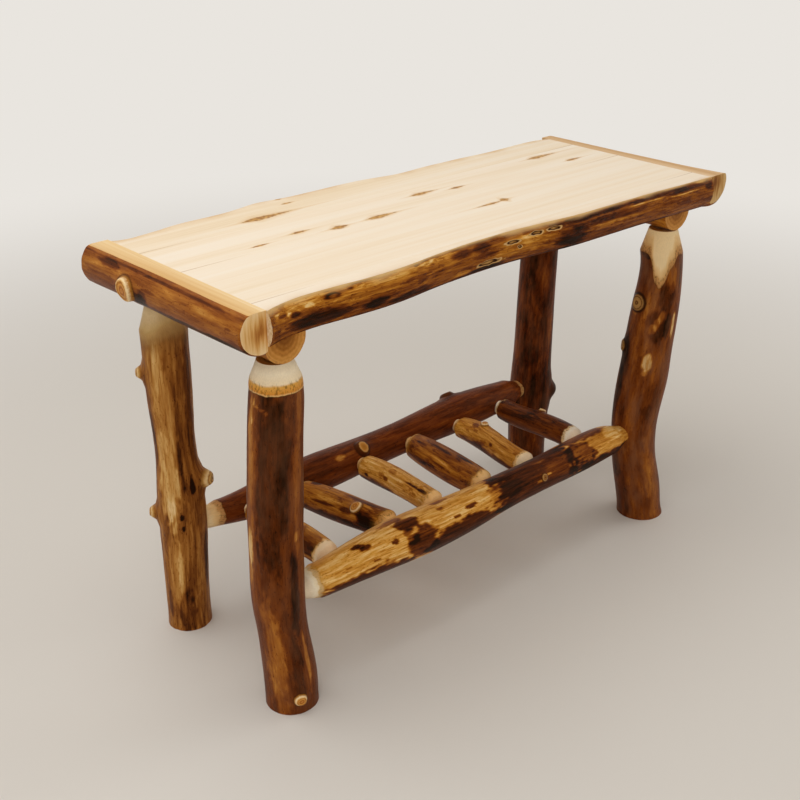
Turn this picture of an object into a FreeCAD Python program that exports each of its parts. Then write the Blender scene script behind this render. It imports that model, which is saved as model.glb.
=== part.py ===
import FreeCAD
import Part
import Sketcher
import os
from types import SimpleNamespace

# A rustic sofa table of peeled logs: a plank top between two half-log end caps, two half-log
# cross rails, four log legs, two stretchers and a shelf of six slats between them.
# Frame: X along the table to the right, Y from front to back, Z up, origin under the middle on the floor.

# Driving sizes in millimetres
SIZES = [
    ("table_height", 762, "floor to the flat of the top"),
    ("top_depth", 436, "length of an end cap, the depth of the top without its waves"),
    ("plank_length", 1076, "length of the boards between the end caps"),
    ("slab_thickness", 57, "thickness of the boards"),
    ("live_edge_wave", 20, "how far the live edges wander"),
    ("live_edge_bulge", 11, "how far the live edges swell past the flat"),
    ("cap_radius", 40, "radius of the log of an end cap"),
    ("cap_stub_radius", 23, "radius of the branch stub on the left end cap"),
    ("cap_stub_reach", 14, "how far that stub stands out"),
    ("rail_radius", 42, "radius of the log of a cross rail"),
    ("rail_gap", 9, "cross rail to end cap"),
    ("rail_overhang", 30, "end of a cross rail past the axis of the leg"),
    ("leg_setback", 56, "axis of a leg behind the end of the cap"),
    ("leg_radius", 46, "radius of a leg"),
    ("leg_bend", 44, "largest wander of a leg from its axis"),
    ("leg_crown_radius", 28, "radius of a leg where the taper ends under the rail"),
    ("leg_taper", 50, "height of the shaved taper at the top of a leg"),
    ("leg_tenon_radius", 19, "radius of the tenon on a leg"),
    ("leg_tenon_length", 30, "height of the tenon on a leg"),
    ("rail_seat_depth", 4, "depth of the flat cut in a rail for a leg"),
    ("leg_stub_radius", 11, "radius of a branch stub on a leg"),
    ("leg_stub_reach", 9, "how far a branch stub stands out from a leg"),
    ("front_shelf_height", 218, "axis of the front stretcher above the floor"),
    ("back_shelf_height", 205, "axis of the back stretcher above the floor"),
    ("stretcher_radius", 32, "radius of a stretcher"),
    ("stretcher_bend", 8, "largest wander of a stretcher from its axis"),
    ("stretcher_taper", 34, "length of the shaved taper at the end of a stretcher"),
    ("neck_relief", 1.2, "neck of a stretcher or slat that shows outside its seat"),
    ("stretcher_neck_radius", 20, "radius of a stretcher where it meets the leg"),
    ("stretcher_seat_depth", 5.5, "depth of the flat cut in a leg for a stretcher"),
    ("stretcher_tenon_radius", 15, "radius of the tenon on a stretcher"),
    ("stretcher_tenon_length", 32, "length of the tenon on a stretcher"),
    ("stretcher_stub_radius", 9, "radius of a branch stub on a stretcher"),
    ("stretcher_stub_reach", 9, "how far a branch stub stands out from a stretcher"),
    ("slat_radius", 25, "radius of a slat"),
    ("slat_bend", 4, "largest wander of a slat from its axis"),
    ("slat_taper", 14, "length of the rounded end of a slat"),
    ("slat_neck_radius", 14, "radius of a slat where it meets the stretcher"),
    ("slat_seat_depth", 4, "depth of the flat cut in a stretcher for a slat"),
    ("slat_tenon_radius", 10, "radius of the tenon on a slat"),
    ("slat_tenon_length", 16, "length of the tenon on a slat"),
    ("slat_stub_radius", 9, "radius of a branch stub on a slat"),
    ("slat_stub_reach", 7, "how far a branch stub stands out from a slat"),
    ("joint_clearance", 0.2, "play between a tenon, dowel or screw and its hole"),
    ("seat_gap", 0.2, "play between a shoulder and its seat"),
    ("hole_end_gap", 1, "room between the end of a tenon, dowel or screw and its hole"),
    ("dowel_radius", 5, "radius of the dowels between the boards"),
    ("dowel_length", 46, "length of the dowels between the boards"),
    ("cap_dowel_radius", 6, "radius of the dowels of the end caps"),
    ("cap_dowel_in_cap", 26, "depth of a dowel in the end cap"),
    ("cap_dowel_in_board", 38, "depth of a dowel in the board"),
    ("screw_radius", 3.2, "radius of the shank of a rail screw"),
    ("screw_bite", 34, "depth of a rail screw in the board"),
    ("screw_tip", 8, "length of the point of a rail screw"),
    ("screw_head_radius", 6.4, "corner radius of the six-sided screw head"),
    ("screw_head_height", 4.4, "height of the screw head"),
    ("washer_radius", 9, "radius of the washer under a screw head"),
    ("washer_thickness", 1.6, "thickness of that washer"),
    ("rail_grip", 24, "wood of the rail between the washer and the boards"),
    ("counterbore_play", 1, "room round the washer in the rail"),
    ("overrun", 6, "how far every cut runs past the wood"),
]

# Places of the three seams between the boards, shares of the depth of the top.
SEAM_SHARES = (-0.417, 0.014, 0.298)

# Sawn faces of the end caps and cross rails, shares of the radius of their logs.
CAP_TOP_SHARE = 0.825
CAP_INNER_SHARE = 0.3
RAIL_FLAT_SHARE = 0.24

# Live edges: place along the board and wander of the edge into the wood, as shares.
FRONT_EDGE_SHARES = (
    (-0.5, -0.2), (-0.4, 0.55), (-0.29, 0.18), (-0.22, 0.38), (-0.15, 0.8), (-0.07, 1.0),
    (0.03, 0.8), (0.105, 0.35), (0.19, 0.1), (0.28, 0.05), (0.4, -0.22), (0.5, -0.45),
)
BACK_EDGE_SHARES = (
    (-0.5, 0.3), (-0.41, 0.15), (-0.32, -0.1), (-0.25, -0.35), (-0.2, -0.6), (-0.14, -0.1),
    (-0.05, -0.15), (0.05, 0.2), (0.16, 0.42), (0.27, 0.45), (0.39, 0.65), (0.5, 1.0),
)
# Where the square core of an edge slab starts, a share of the wave in from the nominal edge.
CORE_SHARE = 1.3

# End caps: place along the cap from front to back and radius, as shares.
CAP_LEFT_SHARES = ((-0.5, 0.97), (-0.15, 1.0), (0.2, 1.04), (0.53, 1.1))
CAP_RIGHT_SHARES = ((-0.525, 1.1), (-0.2, 1.05), (0.2, 1.0), (0.5, 0.98))
CAP_STUB_PLACE_SHARE = 0.2
STUB_ROOT_SHARE = 1.35

# Cross rails: place along the rail and radius, as shares.
RAIL_LEFT_SHARES = ((-0.5, 0.98), (0.0, 1.0), (0.5, 0.95))
RAIL_RIGHT_SHARES = ((-0.5, 0.95), (0.0, 1.0), (0.5, 1.0))

# Legs below and above the stretcher: height share, radius share and bend share along X.
# The first list runs from the floor to the stretcher, the second from there to the taper.
LEG_SHARES = {
    "front_left": (
        ((0.0, 1.02, 0.0), (0.2, 1.02, -0.02), (0.42, 1.0, -0.1), (0.62, 0.96, -0.22),
         (0.81, 0.95, -0.33), (1.0, 0.98, -0.4)),
        ((0.13, 0.99, -0.4), (0.27, 0.98, -0.38), (0.44, 1.0, -0.33), (0.64, 0.985, -0.24),
         (0.83, 0.97, -0.12), (1.0, 0.93, 0.0)),
    ),
    "back_left": (
        ((0.0, 0.9, 0.0), (0.41, 0.89, 0.02), (0.65, 0.91, 0.05), (1.0, 0.95, 0.1)),
        ((0.17, 0.95, 0.1), (0.51, 0.82, 0.03), (0.7, 0.887, 0.0), (0.88, 0.906, 0.0), (1.0, 0.92, 0.0)),
    ),
    "front_right": (
        ((0.0, 1.075, 0.04), (0.2, 1.04, -0.18), (0.54, 1.04, -0.61), (0.72, 1.01, -0.84), (1.0, 1.02, -1.0)),
        ((0.11, 1.06, -0.94), (0.24, 1.12, -0.72), (0.375, 1.11, -0.5), (0.54, 1.08, -0.31),
         (0.7, 1.04, -0.08), (0.83, 0.965, 0.08), (1.0, 0.94, 0.0)),
    ),
    "back_right": (
        ((0.0, 0.95, -0.47), (0.36, 0.95, -0.47), (1.0, 1.0, -0.38)),
        ((0.16, 0.957, -0.3), (0.51, 0.915, -0.2), (0.72, 0.9, -0.12), (1.0, 0.92, 0.0)),
    ),
}
# Branch stubs on the legs: height as a share of the table height, bend share there,
# direction outward, and how the root, tip and reach compare with the named stub.
LEG_STUB_SHARES = {
    "front_left": ((0.042, -0.03, (-0.3, -0.95, 0.0), 1.1, 0.9, 0.9),),
    "back_left": (
        (0.69, 0.0, (-0.745, 0.667, 0.25), 1.2, 0.7, 0.8),
        (0.315, 0.1, (-0.745, 0.667, 0.1), 1.3, 0.75, 0.7),
        (0.4, 0.08, (0.745, -0.667, 0.15), 1.9, 1.15, 1.35),
        (0.345, 0.1, (-0.75, -0.66, 0.0), 0.9, 0.6, 0.35),
    ),
    "front_right": (
        (0.663, -0.1, (-1.0, 0.03, 0.15), 1.5, 1.1, 0.35),
        (0.53, -0.4, (-0.745, 0.667, 0.2), 1.5, 0.9, 0.6),
    ),
    "back_right": ((0.235, -0.38, (0.745, -0.667, 0.3), 1.5, 0.6, 1.2),),
}

# Slats: where the front and back ends stand between the legs, and radius, as shares.
SLAT_SHARES = (
    (0.122, 0.132, 1.06), (0.294, 0.263, 1.15), (0.43, 0.45, 1.0),
    (0.57, 0.6055, 1.24), (0.713, 0.76, 1.04), (0.894, 0.913, 1.0),
)
# Along each slat: place, radius share and the sideways and upward bend shares.
SLAT_SHAPE_SHARES = (
    ((0.0, 0.94, 0.0, 0.0), (0.35, 1.02, 0.6, 0.4), (0.7, 1.0, -0.3, 0.5), (1.0, 0.9, 0.0, 0.0)),
    ((0.0, 0.96, 0.0, 0.0), (0.3, 1.0, -0.8, 0.3), (0.65, 1.03, 0.4, -0.4), (1.0, 0.92, 0.0, 0.0)),
    ((0.0, 0.98, 0.0, 0.0), (0.4, 1.0, 0.5, 0.7), (0.75, 1.05, 0.8, 0.2), (1.0, 0.96, 0.0, 0.0)),
    ((0.0, 0.9, 0.0, 0.0), (0.3, 1.02, 0.3, -0.5), (0.7, 1.0, -0.5, 0.3), (1.0, 0.86, 0.0, 0.0)),
    ((0.0, 0.95, 0.0, 0.0), (0.35, 1.0, -0.4, 0.6), (0.6, 1.04, 0.6, 0.8), (1.0, 0.9, 0.0, 0.0)),
    ((0.0, 0.97, 0.0, 0.0), (0.4, 1.02, 0.7, 0.4), (0.7, 1.0, 0.2, -0.3), (1.0, 0.93, 0.0, 0.0)),
)
# Stubs on slats: slat number, place along it and direction.
SLAT_STUB_SHARES = ((2, 0.3, (-0.45, 0.0, 0.9)), (5, 0.62, (0.2, 0.0, 0.98)), (6, 0.58, (0.5, 0.0, 0.866)))

# Stretchers at the left end, at every slat and at the right end: radius share,
# sideways and upward bend shares.
STRETCHER_SHARES = {
    "front": ((0.98, 0.0, 0.0), (1.1, 0.0, 0.1), (1.36, 0.3, -0.3), (1.28, 0.2, -0.7), (1.1, -0.3, 0.1),
              (1.04, -0.2, 0.1), (1.1, 0.2, 0.1), (0.98, 0.0, 0.0)),
    "back": ((0.8, 0.0, 0.0), (0.95, 0.1, -0.7), (1.25, 0.2, -0.6), (1.18, 0.1, -0.3), (1.1, 0.0, 0.0),
             (1.25, -0.2, 0.5), (1.15, -0.2, 0.3), (1.0, 0.0, 0.0)),
}
# Stubs on the stretchers: which, number of the slat nearby, how far along towards the
# next slat, direction, and how the stub compares with the named one.
STRETCHER_STUB_SHARES = (
    ("back", 3, 0.2, (0.0, -0.65, 0.76), 0.8, 1.1), ("back", 5, 0.25, (0.0, -0.2, 0.98), 1.5, 0.9),
    ("front", 4, 0.7, (0.0, -0.95, 0.3), 1.1, 0.5),
)

# Dowels along the seams and screws along the rails, shares of the half length and of the leg place.
SEAM_DOWEL_SHARES = (-0.85, -0.3, 0.3, 0.85)
CAP_DOWEL_SHARES = ((1, 0.2), (1, 0.8), (2, 0.5), (3, 0.45))
RAIL_SCREW_SHARES = (-0.6, -0.27, 0.27, 0.6)

HEAD_SIDES = 6


# Sizes that carry their sheet expression
class Size:
    """A length together with the expression that ties it to the sheet."""

    def __init__(self, value, text):
        self.value = float(value)
        self.text = text

    def joined(self, sign, other, value):
        text = other.text if isinstance(other, Size) else repr(float(other))
        return Size(value, f"({self.text} {sign} {text})")

    def __add__(self, other):
        return self.joined("+", other, self.value + number(other))

    def __sub__(self, other):
        return self.joined("-", other, self.value - number(other))

    def __mul__(self, other):
        return self.joined("*", other, self.value * number(other))

    def __truediv__(self, other):
        return self.joined("/", other, self.value / number(other))

    def __neg__(self):
        return self * -1


def number(size):
    return size.value if isinstance(size, Size) else float(size)


doc = FreeCAD.newDocument("LogSofaTable")
sheet = doc.addObject("Spreadsheet::Sheet", "Sizes")
for row, (alias, value, meaning) in enumerate(SIZES, start=1):
    sheet.set(f"A{row}", alias)
    sheet.set(f"B{row}", str(value))
    sheet.setAlias(f"B{row}", alias)
    sheet.set(f"C{row}", meaning)
doc.recompute()
s = SimpleNamespace(**{alias: Size(value, f"Sizes.{alias}") for alias, value, meaning in SIZES})

ORIGIN = FreeCAD.Vector(0, 0, 0)
UP = FreeCAD.Vector(0, 0, 1)
DOWN = FreeCAD.Vector(0, 0, -1)
RIGHT = FreeCAD.Vector(1, 0, 0)
LEFT = FreeCAD.Vector(-1, 0, 0)
BACKWARD = FreeCAD.Vector(0, 1, 0)
FORWARD = FreeCAD.Vector(0, -1, 0)

pieces = []


# Binding and placing
def bind(thing, path, size):
    """Tie one property of a thing to the sheet; a plain zero stays as it is."""
    if isinstance(size, Size):
        thing.setExpression(path, size.text)


def place(thing, x, y, z, direction=UP):
    thing.Placement = FreeCAD.Placement(ORIGIN, FreeCAD.Rotation(UP, direction))
    bind(thing, "Placement.Base.x", x)
    bind(thing, "Placement.Base.y", y)
    bind(thing, "Placement.Base.z", z)


def make_body(label, x=0, y=0, z=0):
    body = doc.addObject("PartDesign::Body", label)
    body.Label = label
    place(body, x, y, z)
    pieces.append(body)
    return body


def new_sketch(body, plane, x, y, z):
    """A sketch on one of the body's planes, moved to x, y, z of the body."""
    sketch = body.newObject("Sketcher::SketchObject", "Section")
    role = {"across_z": "XY_Plane", "across_y": "XZ_Plane", "across_x": "YZ_Plane"}[plane]
    support = [feature for feature in body.Origin.OriginFeatures if feature.Role == role][0]
    sketch.AttachmentSupport = [(support, "")]
    sketch.MapMode = "FlatFace"
    offsets = {"across_z": (x, y, z), "across_y": (x, z, turned(y)), "across_x": (y, z, x)}[plane]
    for axis, offset in zip("xyz", offsets):
        bind(sketch, f"AttachmentOffset.Base.{axis}", offset)
    return sketch


def turned(size):
    return -size if isinstance(size, Size) else 0


def circle_section(body, plane, x, y, z, radius):
    sketch = new_sketch(body, plane, x, y, z)
    circle = sketch.addGeometry(Part.Circle(ORIGIN, UP, radius.value), False)
    sketch.addConstraint(Sketcher.Constraint("Coincident", circle, 3, -1, 1))
    index = sketch.addConstraint(Sketcher.Constraint("Radius", circle, radius.value))
    bind(sketch, f"Constraints[{index}]", radius)
    return sketch


def loft(body, sections):
    feature = body.newObject("PartDesign::AdditiveLoft", "Log")
    feature.Profile = sections[0]
    feature.Sections = sections[1:]
    feature.Ruled = False
    for sketch in sections:
        sketch.Visibility = False
    return feature


def rectangle_pad(body, plane, at, low, high, length):
    """A board: a rectangle from low to high on a plane, padded by length."""
    sketch = new_sketch(body, plane, *at)
    corners = [(low[0], low[1]), (high[0], low[1]), (high[0], high[1]), (low[0], high[1])]
    points = [FreeCAD.Vector(number(u), number(v), 0) for u, v in corners]
    for start in range(len(points)):
        end = (start + 1) % len(points)
        sketch.addGeometry(Part.LineSegment(points[start], points[end]), False)
    for start in range(len(points)):
        end = (start + 1) % len(points)
        sketch.addConstraint(Sketcher.Constraint("Coincident", start, 2, end, 1))
        kind = "Horizontal" if start % 2 == 0 else "Vertical"
        sketch.addConstraint(Sketcher.Constraint(kind, start))
    for line, (u, v) in ((0, corners[0]), (2, corners[2])):
        for kind, size in (("DistanceX", u), ("DistanceY", v)):
            index = sketch.addConstraint(Sketcher.Constraint(kind, -1, 1, line, 1, number(size)))
            bind(sketch, f"Constraints[{index}]", size)
    pad = body.newObject("PartDesign::Pad", "Board")
    pad.Profile = sketch
    bind(pad, "Length", length)
    sketch.Visibility = False
    return pad


def add_rod(body, at, direction, radius, length):
    rod = body.newObject("PartDesign::AdditiveCylinder", "Rod")
    place(rod, *at, direction)
    bind(rod, "Radius", radius)
    bind(rod, "Height", length)


def add_cone(body, at, direction, root_radius, tip_radius, length):
    cone = body.newObject("PartDesign::AdditiveCone", "Taper")
    place(cone, *at, direction)
    bind(cone, "Radius1", root_radius)
    bind(cone, "Radius2", tip_radius)
    bind(cone, "Height", length)


def drill(body, at, direction, radius, length):
    hole = body.newObject("PartDesign::SubtractiveCylinder", "Hole")
    place(hole, *at, direction)
    bind(hole, "Radius", radius)
    bind(hole, "Height", length)


def saw(body, low, high):
    """Take away the box between two corners of the body."""
    box = body.newObject("PartDesign::SubtractiveBox", "Cut")
    place(box, *low)
    for side, start, end in zip(("Length", "Width", "Height"), low, high):
        bind(box, side, end - start if isinstance(start, Size) else end)


# Levels and places that follow from the sizes
half_length = s.plank_length / 2
half_depth = s.top_depth / 2
underside = s.table_height - s.slab_thickness
board_middle = underside + s.slab_thickness / 2
leg_x = half_length - s.rail_gap - s.rail_radius
leg_y = half_depth - s.leg_setback
rail_axis = underside - s.rail_radius * RAIL_FLAT_SHARE
rail_bottom = rail_axis - s.rail_radius
leg_top = rail_bottom + s.rail_seat_depth
leg_shoulder = leg_top - s.seat_gap - s.leg_taper
rail_half = leg_y + s.rail_overhang
cap_x = half_length + s.cap_radius * CAP_INNER_SHARE
cap_axis = s.table_height - s.cap_radius * CAP_TOP_SHARE
edge_radius = (s.slab_thickness * s.slab_thickness / 4 + s.live_edge_bulge * s.live_edge_bulge) / (s.live_edge_bulge * 2)
seams = [s.top_depth * share for share in SEAM_SHARES]
board_sides = [-half_depth] + seams + [half_depth]
shelf_height = {"front": s.front_shelf_height, "back": s.back_shelf_height}
row_y = {"front": -leg_y, "back": leg_y}
side_sign = {"left": -1, "right": 1}

dowel_hole_radius = s.dowel_radius + s.joint_clearance
cap_hole_radius = s.cap_dowel_radius + s.joint_clearance
screw_hole_radius = s.screw_radius + s.joint_clearance
washer_level = underside - s.rail_grip
screw_places = [leg_y * share for share in RAIL_SCREW_SHARES]
seam_dowel_places = [half_length * share for share in SEAM_DOWEL_SHARES]


def cap_dowel_place(board, share):
    return board_sides[board] + (board_sides[board + 1] - board_sides[board]) * share


# Boards of the top
def drill_board(body, board, seam_sides):
    """Dowel holes in the sides and ends of a board, and screw holes from below."""
    for seam in seam_sides:
        into = BACKWARD if seam == board else FORWARD
        reach = s.dowel_length / 2 + s.hole_end_gap
        start = seams[seam - 1] - s.overrun * (1 if seam == board else -1)
        for x in seam_dowel_places:
            drill(body, (x, start, board_middle), into, dowel_hole_radius, reach + s.overrun)
    for number_of_board, share in CAP_DOWEL_SHARES:
        if number_of_board != board:
            continue
        depth = s.cap_dowel_in_board + s.hole_end_gap + s.overrun
        y = cap_dowel_place(board, share)
        drill(body, (-half_length - s.overrun, y, board_middle), RIGHT, cap_hole_radius, depth)
        drill(body, (half_length + s.overrun, y, board_middle), LEFT, cap_hole_radius, depth)
    for y in screw_places:
        if board_sides[board].value < y.value < board_sides[board + 1].value:
            for sign in side_sign.values():
                depth = s.screw_bite + s.hole_end_gap + s.overrun
                drill(body, (leg_x * sign, y, underside - s.overrun), UP, screw_hole_radius, depth)


def make_plank(label, board):
    body = make_body(label)
    low = (board_sides[board], underside)
    high = (board_sides[board + 1], s.table_height)
    rectangle_pad(body, "across_x", (-half_length, 0, 0), low, high, s.plank_length)
    drill_board(body, board, (board, board + 1))


def make_edge_slab(label, board, edge_shares, outward):
    """A slab with one live edge: a wandering log, the saw cuts and a square core."""
    body = make_body(label)
    edge = half_depth * outward
    sections = []
    for along, wander in edge_shares:
        middle = edge + (s.live_edge_bulge - edge_radius - s.live_edge_wave * wander) * outward
        sections.append(circle_section(body, "across_x", s.plank_length * along, middle, board_middle, edge_radius))
    loft(body, sections)
    core = edge - s.live_edge_wave * CORE_SHARE * outward
    seam = seams[0] if outward < 0 else seams[2]
    end = half_length + s.overrun
    far = edge_radius * 2 + half_depth
    thick = edge_radius + s.overrun
    saw(body, (-end, -far, s.table_height), (end, far, s.table_height + thick))
    saw(body, (-end, -far, underside - thick), (end, far, underside))
    if outward < 0:
        saw(body, (-end, seam, underside - thick), (end, far, s.table_height + thick))
    else:
        saw(body, (-end, -far, underside - thick), (end, seam, s.table_height + thick))
    low, high = (core, seam) if outward < 0 else (seam, core)
    rectangle_pad(body, "across_x", (-half_length, 0, 0), (low, underside), (high, s.table_height), s.plank_length)
    drill_board(body, board, (1,) if outward < 0 else (3,))


make_edge_slab("top_slab_front", 0, FRONT_EDGE_SHARES, -1)
make_plank("top_plank_wide", 1)
make_plank("top_plank_middle", 2)
make_edge_slab("top_slab_back", 3, BACK_EDGE_SHARES, 1)


# End caps
def make_cap(side, shares):
    sign = side_sign[side]
    body = make_body(f"end_cap_{side}", cap_x * sign, 0, cap_axis)
    sections = []
    for along, thickness in shares:
        sections.append(circle_section(body, "across_y", 0, s.top_depth * along, 0, s.cap_radius * thickness))
    loft(body, sections)
    if side == "left":
        reach = s.cap_radius + s.cap_stub_reach
        at = (0, s.top_depth * CAP_STUB_PLACE_SHARE, 0)
        add_cone(body, at, LEFT, s.cap_stub_radius * STUB_ROOT_SHARE, s.cap_stub_radius, reach)
    end = s.top_depth * max(abs(along) for along, thickness in shares) + s.overrun
    far = s.cap_radius * 2
    top = s.cap_radius * CAP_TOP_SHARE
    inner = s.cap_radius * CAP_INNER_SHARE
    saw(body, (-far, -end, top), (far, end, far))
    if side == "left":
        saw(body, (inner, -end, -far), (far, end, far))
    else:
        saw(body, (-far, -end, -far), (-inner, end, far))
    for board, share in CAP_DOWEL_SHARES:
        start = (inner + s.overrun) * -sign
        depth = s.overrun + s.cap_dowel_in_cap + s.hole_end_gap
        level = board_middle - cap_axis
        drill(body, (start, cap_dowel_place(board, share), level), RIGHT * sign, cap_hole_radius, depth)


make_cap("left", CAP_LEFT_SHARES)
make_cap("right", CAP_RIGHT_SHARES)


# Cross rails under the top
def make_rail(side, shares):
    body = make_body(f"cross_rail_{side}", leg_x * side_sign[side], 0, underside)
    axis = rail_axis - underside
    sections = []
    for along, thickness in shares:
        sections.append(circle_section(body, "across_y", 0, rail_half * 2 * along, axis, s.rail_radius * thickness))
    loft(body, sections)
    end = rail_half + s.overrun
    far = s.rail_radius * 2
    saw(body, (-far, -end, 0), (far, end, far))
    seat = leg_top - underside
    bottom = rail_bottom - underside - s.overrun
    for y in row_y.values():
        seat_radius = s.leg_crown_radius + s.rail_seat_depth + s.joint_clearance
        drill(body, (0, y, bottom), UP, seat_radius, seat - bottom)
        mortise = s.leg_tenon_length + s.hole_end_gap - bottom + seat
        drill(body, (0, y, bottom), UP, s.leg_tenon_radius + s.joint_clearance, mortise)
    for y in screw_places:
        drill(body, (0, y, bottom), UP, s.washer_radius + s.counterbore_play, washer_level - underside - bottom)
        drill(body, (0, y, bottom), UP, screw_hole_radius, s.overrun - bottom)


make_rail("left", RAIL_LEFT_SHARES)
make_rail("right", RAIL_RIGHT_SHARES)

# Legs
leg_joint = {}


def make_leg(row, side):
    name = f"{row}_{side}"
    sign = side_sign[side]
    body = make_body(f"leg_{name}", leg_x * sign, row_y[row], 0)
    joint = shelf_height[row]
    below, above = LEG_SHARES[name]
    sections = []
    for height, thickness, bend in below:
        level = joint * height if height else 0
        sections.append(circle_section(body, "across_z", s.leg_bend * bend, 0, level, s.leg_radius * thickness))
    for height, thickness, bend in above:
        level = joint + (leg_shoulder - joint) * height
        sections.append(circle_section(body, "across_z", s.leg_bend * bend, 0, level, s.leg_radius * thickness))
    loft(body, sections)
    add_cone(body, (0, 0, leg_shoulder), UP, s.leg_radius * above[-1][1], s.leg_crown_radius, s.leg_taper)
    crown = leg_shoulder + s.leg_taper
    add_rod(body, (0, 0, crown), UP, s.leg_tenon_radius, s.leg_tenon_length)
    for height, bend, direction, root, tip, reach in LEG_STUB_SHARES[name]:
        at = (s.leg_bend * bend, 0, s.table_height * height)
        radius = s.leg_stub_radius
        length = s.leg_radius + s.leg_stub_reach * reach
        add_cone(body, at, FreeCAD.Vector(*direction), radius * root, radius * tip, length)
    thickness, bend = below[-1][1:]
    face = s.leg_bend * bend - s.leg_radius * thickness * sign
    seat = face + s.stretcher_seat_depth * sign
    start = face - (s.leg_radius + s.overrun) * sign
    leg_joint[name] = leg_x * sign + seat
    inward = RIGHT * sign
    to_seat = s.leg_radius + s.overrun + s.stretcher_seat_depth
    drill(body, (start, 0, joint), inward, s.stretcher_neck_radius + s.joint_clearance, to_seat)
    mortise = to_seat + s.stretcher_tenon_length + s.hole_end_gap
    drill(body, (start, 0, joint), inward, s.stretcher_tenon_radius + s.joint_clearance, mortise)


for leg_row in row_y:
    for leg_side in side_sign:
        make_leg(leg_row, leg_side)

# Places of the slats between the front legs
shelf_left = leg_joint["front_left"]
shelf_length = leg_joint["front_right"] - shelf_left
slat_x = {
    "front": [shelf_left + shelf_length * shares[0] for shares in SLAT_SHARES],
    "back": [shelf_left + shelf_length * shares[1] for shares in SLAT_SHARES],
}


# Stretchers
def end_of_log(body, at, direction, log_radius, taper, neck_radius, neck, tenon_radius, tenon):
    """Shaved taper, neck and tenon, from the end of a log outward along one axis."""
    axis = 0 if abs(direction.x) > abs(direction.y) else 1
    sign = direction[axis]

    def moved(distance):
        spot = list(at)
        spot[axis] = at[axis] + distance * sign
        return spot

    add_cone(body, at, direction, log_radius, neck_radius, taper)
    add_rod(body, moved(taper), direction, neck_radius, neck)
    add_rod(body, moved(taper + neck), direction, tenon_radius, tenon)


def make_stretcher(row):
    body = make_body(f"stretcher_{row}", 0, row_y[row], shelf_height[row])
    shares = STRETCHER_SHARES[row]
    neck = s.stretcher_seat_depth + s.neck_relief
    end_run = s.stretcher_taper + neck
    left_end = leg_joint[f"{row}_left"] + s.seat_gap + end_run
    right_end = leg_joint[f"{row}_right"] - s.seat_gap - end_run
    stations = [left_end] + slat_x[row] + [right_end]
    sections = []
    for x, (thickness, sideways, upward) in zip(stations, shares):
        y = s.stretcher_bend * sideways
        z = s.stretcher_bend * upward
        sections.append(circle_section(body, "across_x", x, y, z, s.stretcher_radius * thickness))
    loft(body, sections)
    for end, direction, thickness in ((left_end, LEFT, shares[0][0]), (right_end, RIGHT, shares[-1][0])):
        end_of_log(body, (end, 0, 0), direction, s.stretcher_radius * thickness, s.stretcher_taper,
                   s.stretcher_neck_radius, neck, s.stretcher_tenon_radius, s.stretcher_tenon_length)
    for which, near, onward, direction, width, reach in STRETCHER_STUB_SHARES:
        if which != row:
            continue
        x = stations[near] + (stations[near + 1] - stations[near]) * onward
        radius = s.stretcher_stub_radius * width
        length = s.stretcher_radius * shares[near][0] + s.stretcher_stub_reach * reach
        add_cone(body, (x, 0, 0), FreeCAD.Vector(*direction), radius * STUB_ROOT_SHARE, radius, length)
    inward = 1 if row == "front" else -1
    for x, (thickness, sideways, upward) in zip(slat_x[row], shares[1:-1]):
        seat = slat_seat(row, thickness, sideways)
        run = s.stretcher_radius + s.overrun
        start = seat + run * inward
        toward = FORWARD * inward
        drill(body, (x, start, 0), toward, s.slat_neck_radius + s.joint_clearance, run)
        mortise = run + s.slat_tenon_length + s.hole_end_gap
        drill(body, (x, start, 0), toward, s.slat_tenon_radius + s.joint_clearance, mortise)


def slat_seat(row, thickness, sideways):
    """Depth of the seat of a slat, from the axis of its stretcher."""
    inward = 1 if row == "front" else -1
    face = s.stretcher_bend * sideways + s.stretcher_radius * thickness * inward
    return face - s.slat_seat_depth * inward


make_stretcher("front")
make_stretcher("back")


# Shelf slats
def make_slat(index):
    front_x = slat_x["front"][index]
    back_x = slat_x["back"][index]
    body = make_body(f"shelf_slat_{index + 1}", front_x, 0, shelf_height["front"])
    neck = s.slat_seat_depth + s.neck_relief
    end_run = s.slat_taper + neck
    seats = [slat_seat(row, *STRETCHER_SHARES[row][index + 1][:2]) for row in row_y]
    front_end = row_y["front"] + seats[0] + s.seat_gap + end_run
    back_end = row_y["back"] + seats[1] - s.seat_gap - end_run
    skew = back_x - front_x
    drop = shelf_height["back"] - shelf_height["front"]
    radius = s.slat_radius * SLAT_SHARES[index][2]
    shape = SLAT_SHAPE_SHARES[index]

    def axis_at(along, sideways=0.0, upward=0.0):
        x = skew * along + s.slat_bend * sideways
        z = drop * along + s.slat_bend * upward
        return x, front_end + (back_end - front_end) * along, z

    sections = []
    for along, thickness, sideways, upward in shape:
        sections.append(circle_section(body, "across_y", *axis_at(along, sideways, upward), radius * thickness))
    loft(body, sections)
    for along, direction, thickness in ((0.0, FORWARD, shape[0][1]), (1.0, BACKWARD, shape[-1][1])):
        end_of_log(body, axis_at(along), direction, radius * thickness, s.slat_taper, s.slat_neck_radius,
                   neck, s.slat_tenon_radius, s.slat_tenon_length)
    for slat_number, along, direction in SLAT_STUB_SHARES:
        if slat_number == index + 1:
            stub = s.slat_stub_radius
            length = radius + s.slat_stub_reach
            add_cone(body, axis_at(along), FreeCAD.Vector(*direction), stub * STUB_ROOT_SHARE, stub, length)


for slat_index in range(len(SLAT_SHARES)):
    make_slat(slat_index)


# Dowels, screws and washers as groups of equal pieces
def rod(at, direction, radius, length):
    piece = doc.addObject("Part::Cylinder", "Rod")
    place(piece, *at, direction)
    bind(piece, "Radius", radius)
    bind(piece, "Height", length)
    return piece


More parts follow.
